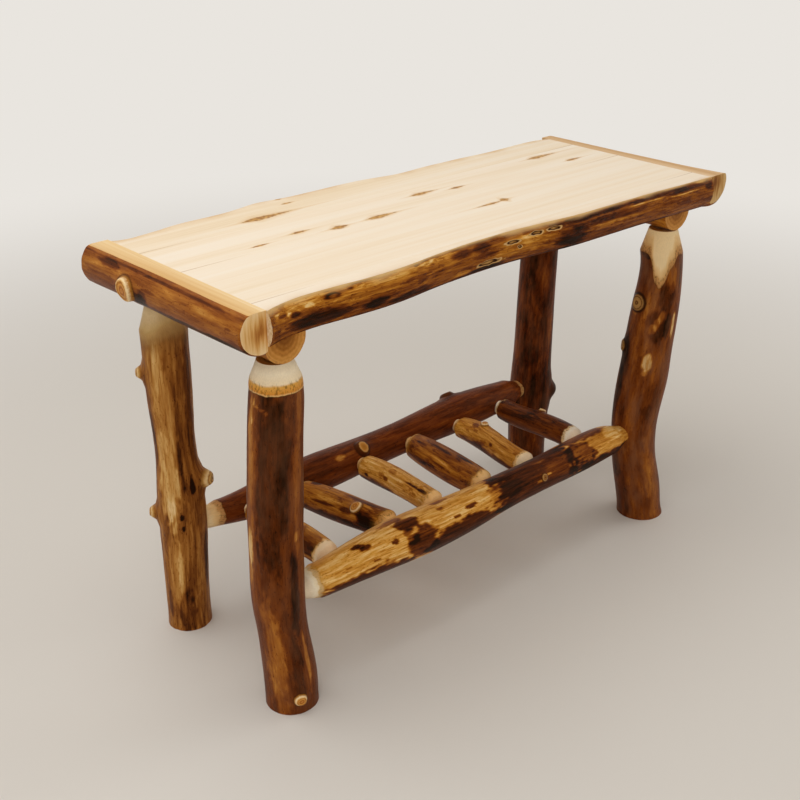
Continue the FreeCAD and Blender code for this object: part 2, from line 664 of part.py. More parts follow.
def group(label, members, x=0, y=0, z=0):
    bundle = doc.addObject("Part::Compound", label)
    bundle.Label = label
    bundle.Links = members
    place(bundle, x, y, z)
    pieces.append(bundle)


for seam_label, seam_y in zip(("front", "middle", "back"), seams):
    dowels = [rod((x, -(s.dowel_length / 2), 0), BACKWARD, s.dowel_radius, s.dowel_length) for x in seam_dowel_places]
    group(f"seam_dowels_{seam_label}", dowels, 0, seam_y, board_middle)

for cap_side, cap_sign in side_sign.items():
    dowels = []
    for dowel_board, dowel_share in CAP_DOWEL_SHARES:
        spot = (s.cap_dowel_in_board * -cap_sign, cap_dowel_place(dowel_board, dowel_share), 0)
        long = s.cap_dowel_in_board + s.cap_dowel_in_cap
        dowels.append(rod(spot, RIGHT * cap_sign, s.cap_dowel_radius, long))
    group(f"cap_dowels_{cap_side}", dowels, half_length * cap_sign, 0, board_middle)


def screw(y):
    """A six-sided head, a shank and a point, seen from the seat of its washer upward."""
    head = doc.addObject("Part::Prism", "Head")
    head.Polygon = HEAD_SIDES
    bind(head, "Circumradius", s.screw_head_radius)
    bind(head, "Height", s.screw_head_height)
    place(head, 0, y, -(s.washer_thickness + s.screw_head_height))
    plain = s.washer_thickness + s.rail_grip + s.screw_bite - s.screw_tip
    shank = rod((0, y, -s.washer_thickness), UP, s.screw_radius, plain)
    point = doc.addObject("Part::Cone", "Point")
    bind(point, "Radius1", s.screw_radius)
    bind(point, "Radius2", s.joint_clearance)
    bind(point, "Height", s.screw_tip)
    place(point, 0, y, plain - s.washer_thickness)
    whole = doc.addObject("Part::MultiFuse", "Screw")
    whole.Shapes = [head, shank, point]
    return whole


def washer(y):
    disc = rod((0, y, -s.washer_thickness), UP, s.washer_radius, s.washer_thickness)
    hole = rod((0, y, -(s.washer_thickness + s.overrun)), UP, screw_hole_radius, s.washer_thickness + s.overrun * 2)
    ring = doc.addObject("Part::Cut", "Washer")
    ring.Base = disc
    ring.Tool = hole
    return ring


for rail_side, rail_sign in side_sign.items():
    group(f"rail_screws_{rail_side}", [screw(y) for y in screw_places], leg_x * rail_sign, 0, washer_level)
    group(f"rail_washers_{rail_side}", [washer(y) for y in screw_places], leg_x * rail_sign, 0, washer_level)

# Rebuild, check and write
doc.recompute()
for item in doc.Objects:
    if "Invalid" in item.State or "Error" in item.State:
        raise RuntimeError(f"{item.Label} ({item.Name}) did not build: {item.State}")
os.makedirs("parts", exist_ok=True)
for piece in pieces:
    shape = piece.Shape
    if shape.isNull() or not shape.isValid():
        raise RuntimeError(f"{piece.Label} has no valid shape")
    shape.exportStep(f"parts/{piece.Label}.step")
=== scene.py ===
# Sofa table of peeled aspen logs: its looks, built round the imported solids.
import math

import bmesh
import bpy
import numpy as np
from mathutils import Matrix, Vector, noise
from mathutils.bvhtree import BVHTree


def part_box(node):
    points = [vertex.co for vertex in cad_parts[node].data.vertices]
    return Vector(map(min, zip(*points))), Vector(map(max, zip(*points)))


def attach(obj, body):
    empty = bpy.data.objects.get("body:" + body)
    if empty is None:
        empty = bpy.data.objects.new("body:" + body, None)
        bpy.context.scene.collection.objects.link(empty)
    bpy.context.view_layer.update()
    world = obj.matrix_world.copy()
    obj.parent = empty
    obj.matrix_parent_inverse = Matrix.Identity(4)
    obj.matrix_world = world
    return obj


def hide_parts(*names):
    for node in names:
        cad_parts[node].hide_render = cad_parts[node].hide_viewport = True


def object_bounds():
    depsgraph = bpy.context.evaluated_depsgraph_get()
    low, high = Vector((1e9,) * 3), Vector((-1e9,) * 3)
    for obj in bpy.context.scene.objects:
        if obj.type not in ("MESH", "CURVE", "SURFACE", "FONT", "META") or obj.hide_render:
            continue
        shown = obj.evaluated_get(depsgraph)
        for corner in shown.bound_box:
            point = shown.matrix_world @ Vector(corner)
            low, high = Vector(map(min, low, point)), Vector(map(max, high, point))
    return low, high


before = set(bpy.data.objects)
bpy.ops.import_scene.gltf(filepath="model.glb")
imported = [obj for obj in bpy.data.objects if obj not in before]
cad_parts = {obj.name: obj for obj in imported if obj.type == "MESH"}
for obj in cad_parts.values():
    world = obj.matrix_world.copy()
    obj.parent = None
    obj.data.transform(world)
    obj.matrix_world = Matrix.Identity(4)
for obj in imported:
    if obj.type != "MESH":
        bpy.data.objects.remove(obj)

cad_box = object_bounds()
scene = bpy.context.scene
MM = 0.001

# Measures for the meshes: lengths in metres, jumps and spreads as shares
RING_STEP = 2.5 * MM
PROBE_REACH = 0.3
PROBE_COUNT = 28
END_INSET = 0.3 * MM
FIT_SLACK = 0.5 * MM
GIRTH_JUMP = 0.3
CENTRE_JUMP = 4 * MM
SHARP_ANGLE = math.radians(42)
EDGE_EASE = 0.25 * MM
PLANER_WAVE = 0.12 * MM
CORNER_WEAR = 1.4 * MM
CORNER_REACH = 3.5 * MM
RIM_TURN = math.radians(46)
CORNER_STAIN = 12.25 * MM
RIM_STAIN = 9 * MM
KNOT_FOOT = 1.4
HEART_SPREAD = 1.4

# Points in the meshes: along a board, over its faces and edges, over a half log, and over a live edge
PLANK_STATIONS = 180
PLANK_STEPS = (24, 1, 6, 1, 24, 1, 6, 1)
SWEEP_COUNT = 260
ARC_COUNT = 104
SAWN_COUNT = 12
WANE_COUNT = 56
SLAB_STEPS = (30, 6, 1, 30)

# A knot out of reach, as its place, size and rise, and the share that stands for far from knots and scars
FAR_KNOT = (0.0, 0.0, -10.0, 10 * MM, 0.0)
FAR_SHARE = 9.0

# Ragged outlines of the patches: amount, size of the lumps, and change of seed, on a log of even girth
PATCH_GIRTH = 40 * MM
PATCH_RAGGED = ((0.32, (40 * MM, 12 * MM, 12 * MM), 0), (0.28, (13 * MM, 5 * MM, 5 * MM), 5))

# Ridges along a live edge: depth, length and height of the lumps, how far they sink, and change of seed
WANE_RIDGES = ((1.6 * MM, 0.07, 0.03, 0.8, 0), (1.1 * MM, 0.11, 0.007, 0.0, 2),
               (0.5 * MM, 0.012, 0.006, 0.0, 4))

# Lumps and flutes of a half log: width and depth in mm, how drawn out, how far they sink, and change of seed
HALF_LOG_RELIEF = ((70, 2.0, 3, 0.6, 0), (11, 0.7, 9, 0.0, 3))

# Ragged edges of scars, of the pale rim over a live edge, and of shaved ends
SCAR_LUMPS = (0.009, 0.5, 0.006)
RIM_LUMPS = (0.03, 0.5, 0.006)
RIM_WAVES = (0.05, 0.5, 0.5)
SHAVED_LUMPS = 9 * MM

# Growth rings on sawn ends: spacing, wobble, and the way from pith to bark
RING_SPACING = 8 * MM
RING_WOBBLE = 10 * MM
PITH_TO_BARK = 50 * MM

# How much the noise of a log is drawn out along it, and how soft a patch of inner bark ends
GRAIN_STRETCH = 0.16
BARK_EDGE = 0.03

# Nodes by a short name: type, output, settings, and the inputs that a row of values fills
KINDS = {
    "range": ("ShaderNodeMapRange", 0, {}, range(5)),
    "smooth": ("ShaderNodeMapRange", 0, {"interpolation_type": "SMOOTHSTEP"}, range(5)),
    "blend": ("ShaderNodeMix", 2, {"data_type": "RGBA"}, (0, 6, 7)),
    "ramp": ("ShaderNodeValToRGB", 0, {}, (0,)),
    "noise": ("ShaderNodeTexNoise", 0, {}, ("Vector", "Scale", "Detail", "Roughness")),
    "space": ("ShaderNodeMapping", 0, {}, ("Vector", "Location", "Scale")),
    "join": ("ShaderNodeCombineXYZ", 0, {}, range(3)),
    "split": ("ShaderNodeSeparateXYZ", "node", {}, (0,)),
    "painted": ("ShaderNodeAttribute", "Fac", {}, ()),
    "object_place": ("ShaderNodeTexCoord", "Object", {}, ()),
    "surface": ("ShaderNodeBsdfPrincipled", 0, {}, ()),
    "material_end": ("ShaderNodeOutputMaterial", "node", {}, ("Surface",)),
    "scaled": ("ShaderNodeVectorMath", 0, {"operation": "SCALE"}, (0, "Scale")),
    "dot": ("ShaderNodeVectorMath", 1, {"operation": "DOT_PRODUCT"}, (0, 1)),
    "length": ("ShaderNodeVectorMath", 1, {"operation": "LENGTH"}, (0,)),
}
for name, operation in (("plus", "ADD"), ("times", "MULTIPLY"), ("times_plus", "MULTIPLY_ADD"),
                        ("divided", "DIVIDE"), ("most", "MAXIMUM"), ("unsigned", "ABSOLUTE")):
    KINDS[name] = ("ShaderNodeMath", 0, {"operation": operation}, range(3))
for name, operation in (("plus", "ADD"), ("minus", "SUBTRACT"), ("times", "MULTIPLY")):
    KINDS["vector_" + name] = ("ShaderNodeVectorMath", 0, {"operation": operation}, range(2))
for name, kind in (("", "FLOAT"), ("_vector", "FLOAT_VECTOR")):
    settings = {"data_type": kind}
    KINDS["read" + name] = ("GeometryNodeInputNamedAttribute", 0, settings, ("Name",))
    KINDS["store" + name] = ("GeometryNodeStoreNamedAttribute", 0, settings, ("Geometry", "Name", "Value"))
    KINDS["sample" + name] = ("GeometryNodeSampleIndex", 0, settings, ("Geometry", "Value", "Index"))


# Small tools
def linear(hex_colour):
    """Turns an sRGB hex value into the linear colour that a shader takes."""
    parts = [int(hex_colour[start:start + 2], 16) / 255 for start in (1, 3, 5)]
    bent = [part / 12.92 if part <= 0.04045 else ((part + 0.055) / 1.055) ** 2.4 for part in parts]
    return (*bent, 1.0)


def add(tree, kind, links=(), out=None, stops=(), **settings):
    """Adds a node, makes its settings, fills or links its inputs, and returns one output or the node."""
    node_type, usual_out, fixed, sockets = KINDS.get(kind, (kind, 0, {}, ()))
    node = tree.nodes.new(node_type)
    for key, value in (fixed | settings).items():
        setattr(node, key, value)
    for key, value in links.items() if isinstance(links, dict) else zip(sockets, links):
        if isinstance(value, bpy.types.NodeSocket):
            tree.links.new(value, node.inputs[key])
        else:
            node.inputs[key].default_value = value
    for number, (place, colour) in enumerate(stops):
        elements = node.color_ramp.elements
        element = elements[number] if number < 2 else elements.new(place)
        element.position = place
        element.color = linear(colour)
    out = usual_out if out is None else out
    return node if out == "node" else node.outputs[out]


def new_group(name, kind, inputs, outputs):
    """An empty node group with named inputs and outputs, and what its inputs give."""
    tree = bpy.data.node_groups.new(name, kind)
    for side, sockets in (("INPUT", inputs), ("OUTPUT", outputs)):
        for type_name, names in sockets.items():
            for socket in names:
                tree.interface.new_socket(socket, in_out=side, socket_type="NodeSocket" + type_name)
    return tree, add(tree, "NodeGroupInput", out="node").outputs


def paint(mesh, name, values):
    """Stores a number or a vector for every point of a mesh."""
    values = np.asarray(values, dtype=np.float32)
    kind, field = ("FLOAT_VECTOR", "vector") if values.ndim == 2 else ("FLOAT", "value")
    mesh.attributes.new(name, kind, "POINT").data.foreach_set(field, values.ravel())


def hold(name, points, edges, **values):
    """An object that only hands points, and values at them, to the peeled log's tree."""
    mesh = bpy.data.meshes.new(name)
    mesh.from_pydata(points, edges, [])
    for key, numbers in values.items():
        paint(mesh, key, numbers)
    holder = bpy.data.objects.new(name, mesh)
    scene.collection.objects.link(holder)
    return holder


def rough(points, size, seed):
    """Smooth noise between about -1 and 1 at every point, with lumps of the given size."""
    shift = Vector((seed * 7.31, seed * 3.17, seed * 5.77))
    scaled = np.asarray(points) / np.asarray(size)
    return np.array([noise.noise(Vector(point) + shift) for point in scaled])


def ease(low, high, values):
    """Smooth step from 0 at low to 1 at high."""
    share = np.clip((values - low) / (high - low), 0.0, 1.0)
    return share * share * (3.0 - 2.0 * share)


def turned_from(angle, turn):
    """Degrees away from a turn, between -180 and 180."""
    return (np.degrees(angle) - turn + 180.0) % 360.0 - 180.0


# Reading the logs back from the solids
def surface_of(name):
    """The solid's skin, for rays."""
    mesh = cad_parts[name].data
    points = [vertex.co for vertex in mesh.vertices]
    return BVHTree.FromPolygons(points, [tuple(face.vertices) for face in mesh.polygons])


def circle_through(points):
    """Centre and radius of the circle that lies nearest to the points."""
    system = np.column_stack((2 * points, np.ones(len(points))))
    across, over, rest = np.linalg.lstsq(system, (points ** 2).sum(axis=1), rcond=None)[0]
    return np.array((across, over)), math.sqrt(max(rest + across ** 2 + over ** 2, 0.0))


def fit_circle(points):
    """Circle of the round log: points on stubs and in mortises are left out."""
    centre, radius = circle_through(points)
    off = abs(np.linalg.norm(points - centre, axis=1) - radius)
    if off.max() < FIT_SLACK:
        return centre, radius
    count = len(points)
    best = np.zeros(count, dtype=bool)
    for gap in (count // 3, count // 6, count // 10):
        for first in range(count):
            centre, radius = circle_through(points[[first, (first + gap) % count, (first + 2 * gap) % count]])
            close = abs(np.linalg.norm(points - centre, axis=1) - radius) < FIT_SLACK
            if close.sum() > best.sum():
                best = close
    return circle_through(points[best])


def measure_log(name, axis, thinnest=0.0, turns=((0, 360),)):
    """Stations along a log's axis, with the centre and radius of the round log at each."""
    skin = surface_of(name)
    low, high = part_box(name)
    side = [k for k in range(3) if k != axis]
    count = max(2, round((high[axis] - low[axis]) / RING_STEP))
    stations = np.linspace(low[axis], high[axis], count + 1)
    angles = np.radians(np.hstack([np.linspace(*turn, PROBE_COUNT, endpoint=False) for turn in turns]))
    guess = [(low[k] + high[k]) / 2 for k in side]
    found = []
    for station in stations:
        at = min(max(station, low[axis] + END_INSET), high[axis] - END_INSET)
        points = []
        for angle in angles:
            turn = Vector((0, 0, 0))
            turn[side[0]] = math.cos(angle)
            turn[side[1]] = math.sin(angle)
            start = turn * PROBE_REACH
            start[axis] = at
            start[side[0]] += guess[0]
            start[side[1]] += guess[1]
            hit = skin.ray_cast(start, -turn, PROBE_REACH)[0]
            if hit is not None:
                points.append((hit[side[0]], hit[side[1]]))
        centre, radius = fit_circle(np.array(points))
        steady = not found or abs(radius / found[-1][3] - 1) < GIRTH_JUMP
        if found and math.dist(centre, guess) >= CENTRE_JUMP:
            steady = False
        if radius >= thinnest and steady:
            guess = centre
            found.append((station, *centre, radius))
    found = np.array(found)
    stations = stations[(stations >= found[0, 0]) & (stations <= found[-1, 0])]
    calm = np.column_stack([np.interp(stations, found[:, 0], found[:, column]) for column in (1, 2, 3)])
    even = calm.copy()
    for row in range(2, len(calm) - 2):
        even[row] = np.median(calm[row - 2:row + 3], axis=0)
    return stations, even[:, :2], even[:, 2], side


# Geometry Nodes tree of a peeled log
def peeled_log_tree():
    """A round bar swept along the log, bent, made lumpy and fluted, with knots standing out."""
    tree, given = new_group("peeled_log", "GeometryNodeTree", {
        "Geometry": ("Axis Line",), "Int": ("Sides",), "Vector": ("Across", "Over", "Along"),
        "Float": ("Lump Size", "Lump Depth", "Flute Width", "Flute Depth", "Stretch", "Seed", "Stub Top",
                  "Stub Foot"),
        "Object": ("Knots",), "Material": ("Finish",),
    }, {"Geometry": ("Log",)})
    position = add(tree, "GeometryNodeInputPosition")

    line = add(tree, "GeometryNodeMeshToCurve", {"Mesh": given["Axis Line"]})
    line = add(tree, "store_vector", (line, "axis", position))
    girth = add(tree, "read", ("girth",))
    ring = add(tree, "GeometryNodeCurvePrimitiveCircle", {"Resolution": given["Sides"], "Radius": 1.0})
    bar = add(tree, "GeometryNodeCurveToMesh",
              {"Curve": line, "Profile Curve": ring, "Scale": girth, "Fill Caps": True})

    axis = add(tree, "read_vector", ("axis",))
    spoke = add(tree, "vector_minus", (position, axis))
    outward = add(tree, "ShaderNodeVectorMath", {0: spoke}, operation="NORMALIZE")
    ways = ((spoke, "Across"), (spoke, "Over"), (axis, "Along"))
    place = add(tree, "join", [add(tree, "dot", (arm, given[way])) for arm, way in ways])
    bar = add(tree, "store_vector", (bar, "place", place))
    place = add(tree, "read_vector", ("place",))

    knots = add(tree, "GeometryNodeObjectInfo", {"Object": given["Knots"]}, out="Geometry")
    nearest = add(tree, "GeometryNodeSampleNearest", {"Geometry": knots, "Sample Position": place})
    middle = add(tree, "sample_vector", (knots, position, nearest))
    size, rise = (add(tree, "sample", (knots, add(tree, "read", (key,)), nearest))
                  for key in ("size", "rise"))
    away = add(tree, "ShaderNodeVectorMath", {0: place, 1: middle}, out=1, operation="DISTANCE")
    share = add(tree, "divided", (away, size))
    bar = add(tree, "store", (bar, "knot", share))
    share = add(tree, "read", ("knot",))
    swell = 0.0
    for near, far, part in ((given["Stub Top"], given["Stub Foot"], 0.75), (1.0, 2.6, 0.25)):
        step = add(tree, "smooth", (share, near, far, part, 0.0))
        swell = add(tree, "plus", (step, swell))
    relief = add(tree, "times", (swell, rise))

    shaved = add(tree, "read", ("shaved",))
    worked = add(tree, "times_plus", (shaved, -0.8, 1.0))
    long_way = add(tree, "join", (1.0, 1.0, given["Stretch"]))
    drawn_out = add(tree, "vector_times", (place, long_way))
    for size, depth in (("Lump Size", "Lump Depth"), ("Flute Width", "Flute Depth")):
        often = add(tree, "divided", (1.0, given[size]))
        wave = add(tree, "noise", {"Vector": drawn_out, "W": given["Seed"], "Scale": often, "Detail": 2.0},
                   noise_dimensions="4D")
        swing = add(tree, "times_plus", (wave, 2.0, -1.0))
        push = add(tree, "times", (swing, given[depth]))
        push = add(tree, "times", (push, worked))
        relief = add(tree, "plus", (relief, push))
    bend = add(tree, "read_vector", ("bend",))
    push = add(tree, "scaled", (outward, relief))
    move = add(tree, "vector_plus", (push, bend))
    bar = add(tree, "GeometryNodeSetPosition", {"Geometry": bar, "Offset": move})
    bar = add(tree, "GeometryNodeRealizeInstances", {"Geometry": bar})
    bar = add(tree, "GeometryNodeSetMaterial", {"Geometry": bar, "Material": given["Finish"]})
    add(tree, "NodeGroupOutput", {"Log": bar}, out="node")
    return tree


# Finishing a mesh into a piece of the table
def finish_piece(name, mesh):
    """Closes up a mesh, keeps it inside the solids' box and hands it over in the node's place."""
    points = np.empty(len(mesh.vertices) * 3, dtype=np.float32)
    mesh.vertices.foreach_get("co", points)
    points = np.clip(points.reshape(-1, 3), np.array(cad_box[0]), np.array(cad_box[1]))
    mesh.vertices.foreach_set("co", points.astype(np.float32).ravel())
    work = bmesh.new()
    work.from_mesh(mesh)
    bmesh.ops.recalc_face_normals(work, faces=work.faces)
    work.to_mesh(mesh)
    work.free()
    mesh.shade_smooth()
    mesh.set_sharp_from_angle(angle=SHARP_ANGLE)
    mesh.update()
    piece = bpy.data.objects.new(name + "_look", mesh)
    scene.collection.objects.link(piece)
    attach(piece, "root")
    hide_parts(name)


def patch_sum(along, angle, patches, seed, soft):
    """Adds up listed patches of lighter (+) or darker (-) tone with ragged outlines: mostly the wood's own
    colour, some painted shade and painted highlights.

    A patch is its place along in mm, its turn in degrees, half its length, half its turn, and its amount."""
    total = np.zeros(len(along))
    if not patches:
        return total
    spots = np.column_stack((along, np.cos(angle) * PATCH_GIRTH, np.sin(angle) * PATCH_GIRTH))
    ragged = sum(amount * rough(spots, size, seed + more) for amount, size, more in PATCH_RAGGED)
    for middle, turn, half_length, half_turn, amount in patches:
        gone = (along / MM - middle) / half_length
        away = np.hypot(gone, turned_from(angle, turn) / half_turn) + ragged
        total += amount * (1.0 - ease(1.0 - soft, 1.0 + soft, away))
    return total


def make_log(name, axis, slot, looks, thinnest, sides, knots=(), patches=(), shaved=(), profile=(),
             tongues=(), ragged=5.0, flank=(0.7, 1.3), soft=0.3, lumps=(70, 2.0), flutes=(13, 0.8), seed=0.0):
    """A whole peeled log in the place of a solid.

    The profile adds to the girth past the edge of a shaved end, as (mm past it, mm more).
    A tongue of shaved wood runs down from the first shaved end, as (turn, half turn, length)."""
    stations, centres, radii, side = measure_log(name, axis, thinnest)
    count = len(stations)
    line = np.zeros((count, 3))
    line[:, axis] = stations
    bend = np.zeros((count, 3))
    bend[:, side] = centres
    bare = np.zeros(count)
    for start, direction, run in shaved:
        shown = (stations / MM - start) * direction
        bare = np.maximum(bare, np.clip(shown / run + 0.5, 0.0, 1.0))
        if profile:
            radii = radii + MM * np.interp(shown, *zip(*profile), left=0.0, right=0.0)
    steps = [(k, k + 1) for k in range(count - 1)]
    holder = hold(name + "_axis", line.tolist(), steps, girth=radii, bend=bend, shaved=bare)

    spots = [FAR_KNOT]
    for along, turn, size, rise in knots:
        radius = np.interp(along * MM, stations, radii)
        turn = math.radians(turn)
        spots.append((radius * math.cos(turn), radius * math.sin(turn), along * MM, size * MM, rise * MM))
    spots = np.array(spots)
    knot_holder = hold(name + "_knots", spots[:, :3].tolist(), [], size=spots[:, 3], rise=spots[:, 4])

    unit = np.eye(3).tolist()
    values = {
        "Sides": sides, "Across": unit[side[0]], "Over": unit[side[1]], "Along": unit[axis],
        "Lump Size": lumps[0] * MM, "Lump Depth": lumps[1] * MM, "Flute Width": flutes[0] * MM,
        "Flute Depth": flutes[1] * MM, "Stretch": GRAIN_STRETCH, "Seed": float(seed), "Knots": knot_holder,
        "Stub Top": flank[0], "Stub Foot": flank[1], "Finish": looks,
    }
    modifier = holder.modifiers.new("peeled_log", "NODES")
    modifier.node_group = LOG_TREE
    for item in LOG_TREE.interface.items_tree:
        if item.name in values:
            modifier[item.identifier] = values[item.name]
    graph = bpy.context.evaluated_depsgraph_get()
    mesh = bpy.data.meshes.new_from_object(holder.evaluated_get(graph), preserve_all_data_layers=True,
                                           depsgraph=graph)
    bpy.data.objects.remove(holder)
    bpy.data.objects.remove(knot_holder)

    place = np.empty(len(mesh.vertices) * 3, dtype=np.float32)
    mesh.attributes["place"].data.foreach_get("vector", place)
    place = place.reshape(-1, 3)
    angle = np.arctan2(place[:, 1], place[:, 0])
    paint(mesh, "tone", patch_sum(place[:, 2], angle, patches, seed, soft))
    bare = np.zeros(len(place))
    drop = ragged * rough(place, SHAVED_LUMPS, seed)
    for number, (start, direction, run) in enumerate(shaved):
        shown = (place[:, 2] / MM - start) * direction + drop
        for turn, half_turn, length in tongues if number == 0 else ():
            shown += length * np.exp(-(turned_from(angle, turn) / half_turn) ** 4)
        bare = np.maximum(bare, np.clip(shown / run + 0.5, 0.0, 1.0))
    mesh.attributes["shaved"].data.foreach_set("value", bare.astype(np.float32))
    mesh.materials.append(END_GRAIN)
    for face in mesh.polygons:
        face.material_index = 1 if len(face.vertices) > 4 else 0
    finish_piece(name, mesh)


# Boards, half logs and live edges: rings of points joined into a skin
def make_skin(name, rings, bands, looks, places, extra):
    """Joins rings into a closed skin. Bands give the number of the finish for each step round."""
    count, around = rings.shape[:2]
    first = np.arange(count - 1)[:, None] * around
    step = np.arange(around)[None, :]
    after = (step + 1) % around
    quads = np.stack((first + step, first + after, first + around + after, first + around + step), axis=-1)
    faces = quads.reshape(-1, 4).tolist()
    faces.append(list(range(around)))
    faces.append(list(range((count - 1) * around, count * around)))
    mesh = bpy.data.meshes.new(name + "_look")
    mesh.from_pydata(rings.reshape(-1, 3).tolist(), [], faces)
    for material in looks:
        mesh.materials.append(material)
    numbers = np.tile(np.asarray(bands), count - 1).tolist() + [len(looks) - 1, len(looks) - 1]
    mesh.polygons.foreach_set("material_index", numbers)
    paint(mesh, "place", places.reshape(-1, 3))
    for key, values in extra.items():
        paint(mesh, key, values.reshape(-1))
    finish_piece(name, mesh)


def straight(start, end, count):
    """Points from start up to, but not on, the end."""
    shares = np.arange(count)[:, None] / count
    return np.asarray(start) * (1 - shares) + np.asarray(end) * shares


def make_plank(name, looks, seed):
    """A sawn board with eased edges and the faint waves that a planer leaves."""
    low, high = (np.array(corner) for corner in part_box(name))
    front, back = low[1], high[1]
    bottom, top = low[2], high[2]
    near, far = front + EDGE_EASE, back - EDGE_EASE
    under, over = bottom + EDGE_EASE, top - EDGE_EASE
    corners = [(near, bottom), (far, bottom), (back, under), (back, over), (far, top), (near, top),
               (front, over), (front, under)]
    ends = corners[1:] + corners[:1]
    section = np.vstack([straight(*run) for run in zip(corners, ends, PLANK_STEPS)])
    stations = np.linspace(low[0], high[0], PLANK_STATIONS)
    rings = np.zeros((len(stations), len(section), 3))
    rings[:, :, 0] = stations[:, None]
    rings[:, :, 1:] = section
    flat = rings.reshape(-1, 3)
    wave = PLANER_WAVE * (rough(flat, (0.2, 0.03, 0.1), seed) - 1.0)
    wave = np.where(flat[:, 2] > (top + bottom) / 2, wave, -wave)
    inner = (flat[:, 1] > near) & (flat[:, 1] < far)
    flat[:, 2] += np.where(inner, wave, 0.0)
    make_skin(name, rings, [0] * len(section), [looks, BOARD_END], flat[:, [1, 2, 0]], {})


def make_half_log(name, looks, sawn, ends, turns, span, cuts, knots=(), patches=(), rounded=(1, 0, 0),
                  seed=0.0):
    """A log along Y with one or two sides sawn flat. Cuts are (outward across, outward up, offset).

    Its front end is rounded over, mostly from below, as (mm of length, mm of girth lost, mm of lift)."""
    stations, centres, radii, _ = measure_log(name, 1, 0.0, turns)
    inset = np.clip(1.0 - (stations - stations[0]) / (rounded[0] * MM), 0.0, 1.0)
    lost = MM * (1.0 - np.sqrt(1.0 - inset ** 2))
    radii = radii - rounded[1] * lost
    centres[:, 1] += rounded[2] * lost
    sweep = np.radians(np.linspace(*span, SWEEP_COUNT))
    spokes = np.column_stack((np.cos(sweep), np.sin(sweep)))
    sections = []
    edges = []
    for station, centre, radius in zip(stations, centres, radii):
        spots = np.column_stack((spokes * radius, np.full(SWEEP_COUNT, station)))
        reach = np.full(SWEEP_COUNT, radius)
        for width, depth, drawn_out, sunk, more in HALF_LOG_RELIEF:
            size = (width * MM, width * MM, width * drawn_out * MM)
            reach += depth * MM * (rough(spots, size, seed + more) - sunk)
        for along, turn, knot_size, rise in knots:
            turn = math.radians(turn)
            middle = np.array((radius * math.cos(turn), radius * math.sin(turn), along * MM))
            share = np.linalg.norm(spots - middle, axis=1) / (knot_size * MM)
            lip = 0.12 * np.exp(-((share - 0.82) / 0.12) ** 2)
            flanks = 0.85 * ease(0.85, 1.25, share) + 0.15 * ease(1.0, 2.4, share)
            reach += rise * MM * (1.0 - flanks + lip)
        points = centre + spokes * reach[:, None]
        room = np.array([offset - points @ (across, up) for across, up, offset in cuts])
        inside = np.nonzero((room >= 0).all(axis=0))[0]
        limits = []
        for edge, step in ((inside[0], -1), (inside[-1], 1)):
            here, there = room[:, edge], room[:, edge + step]
            past = there < 0
            best = min([1.0, *(here[past] / (here - there)[past])])
            limits.append(sweep[edge] + best * (sweep[edge + step] - sweep[edge]))
        fine = np.linspace(*limits, ARC_COUNT + 1)
        reach = np.interp(fine, sweep, reach)
        arc = centre + np.column_stack((np.cos(fine), np.sin(fine))) * reach[:, None]
        corners = [arc[-1], arc[0]]
        if len(cuts) == 2:
            corners.insert(1, np.linalg.solve([cut[:2] for cut in cuts], [cut[2] for cut in cuts]))
        flats = [straight(*pair, SAWN_COUNT) for pair in zip(corners, corners[1:])]
        section = np.vstack([arc[:-1], *flats])
        gap = np.minimum(*(np.linalg.norm(section - arc[k], axis=1) for k in (0, -1)))
        inward = centre - section
        inward /= np.linalg.norm(inward, axis=1)[:, None]
        sections.append(section + inward * (CORNER_WEAR * np.exp(-(gap / CORNER_REACH) ** 2))[:, None])
        edges.append(np.exp(-gap / CORNER_STAIN))
    sections = np.array(sections)
    around = sections.shape[1]
    along = np.repeat(stations[:, None], around, axis=1)
    rings = np.dstack((sections[:, :, 0], along, sections[:, :, 1]))
    across, up = (sections[:, :, k] - centres[:, k, None] for k in (0, 1))
    places = np.dstack((across, up, along))
    angle = np.arctan2(up, across).ravel()
    along = along.ravel()
    radius = np.interp(along, stations, radii)
    nearest = np.full(len(along), FAR_SHARE)
    for middle, turn, knot_size, _ in knots:
        turn = math.radians(turn)
        gap = np.column_stack((radius * (np.cos(angle) - math.cos(turn)),
                               radius * (np.sin(angle) - math.sin(turn)), along - middle * MM))
        nearest = np.minimum(nearest, np.linalg.norm(gap, axis=1) / (knot_size * MM))
    bands = [0] * ARC_COUNT + [1] * (around - ARC_COUNT)
    tone = patch_sum(along, angle, patches, seed, 0.3)
    make_skin(name, rings, bands, [looks, sawn, ends], places,
              {"knot": nearest, "tone": tone, "edge": np.array(edges)})


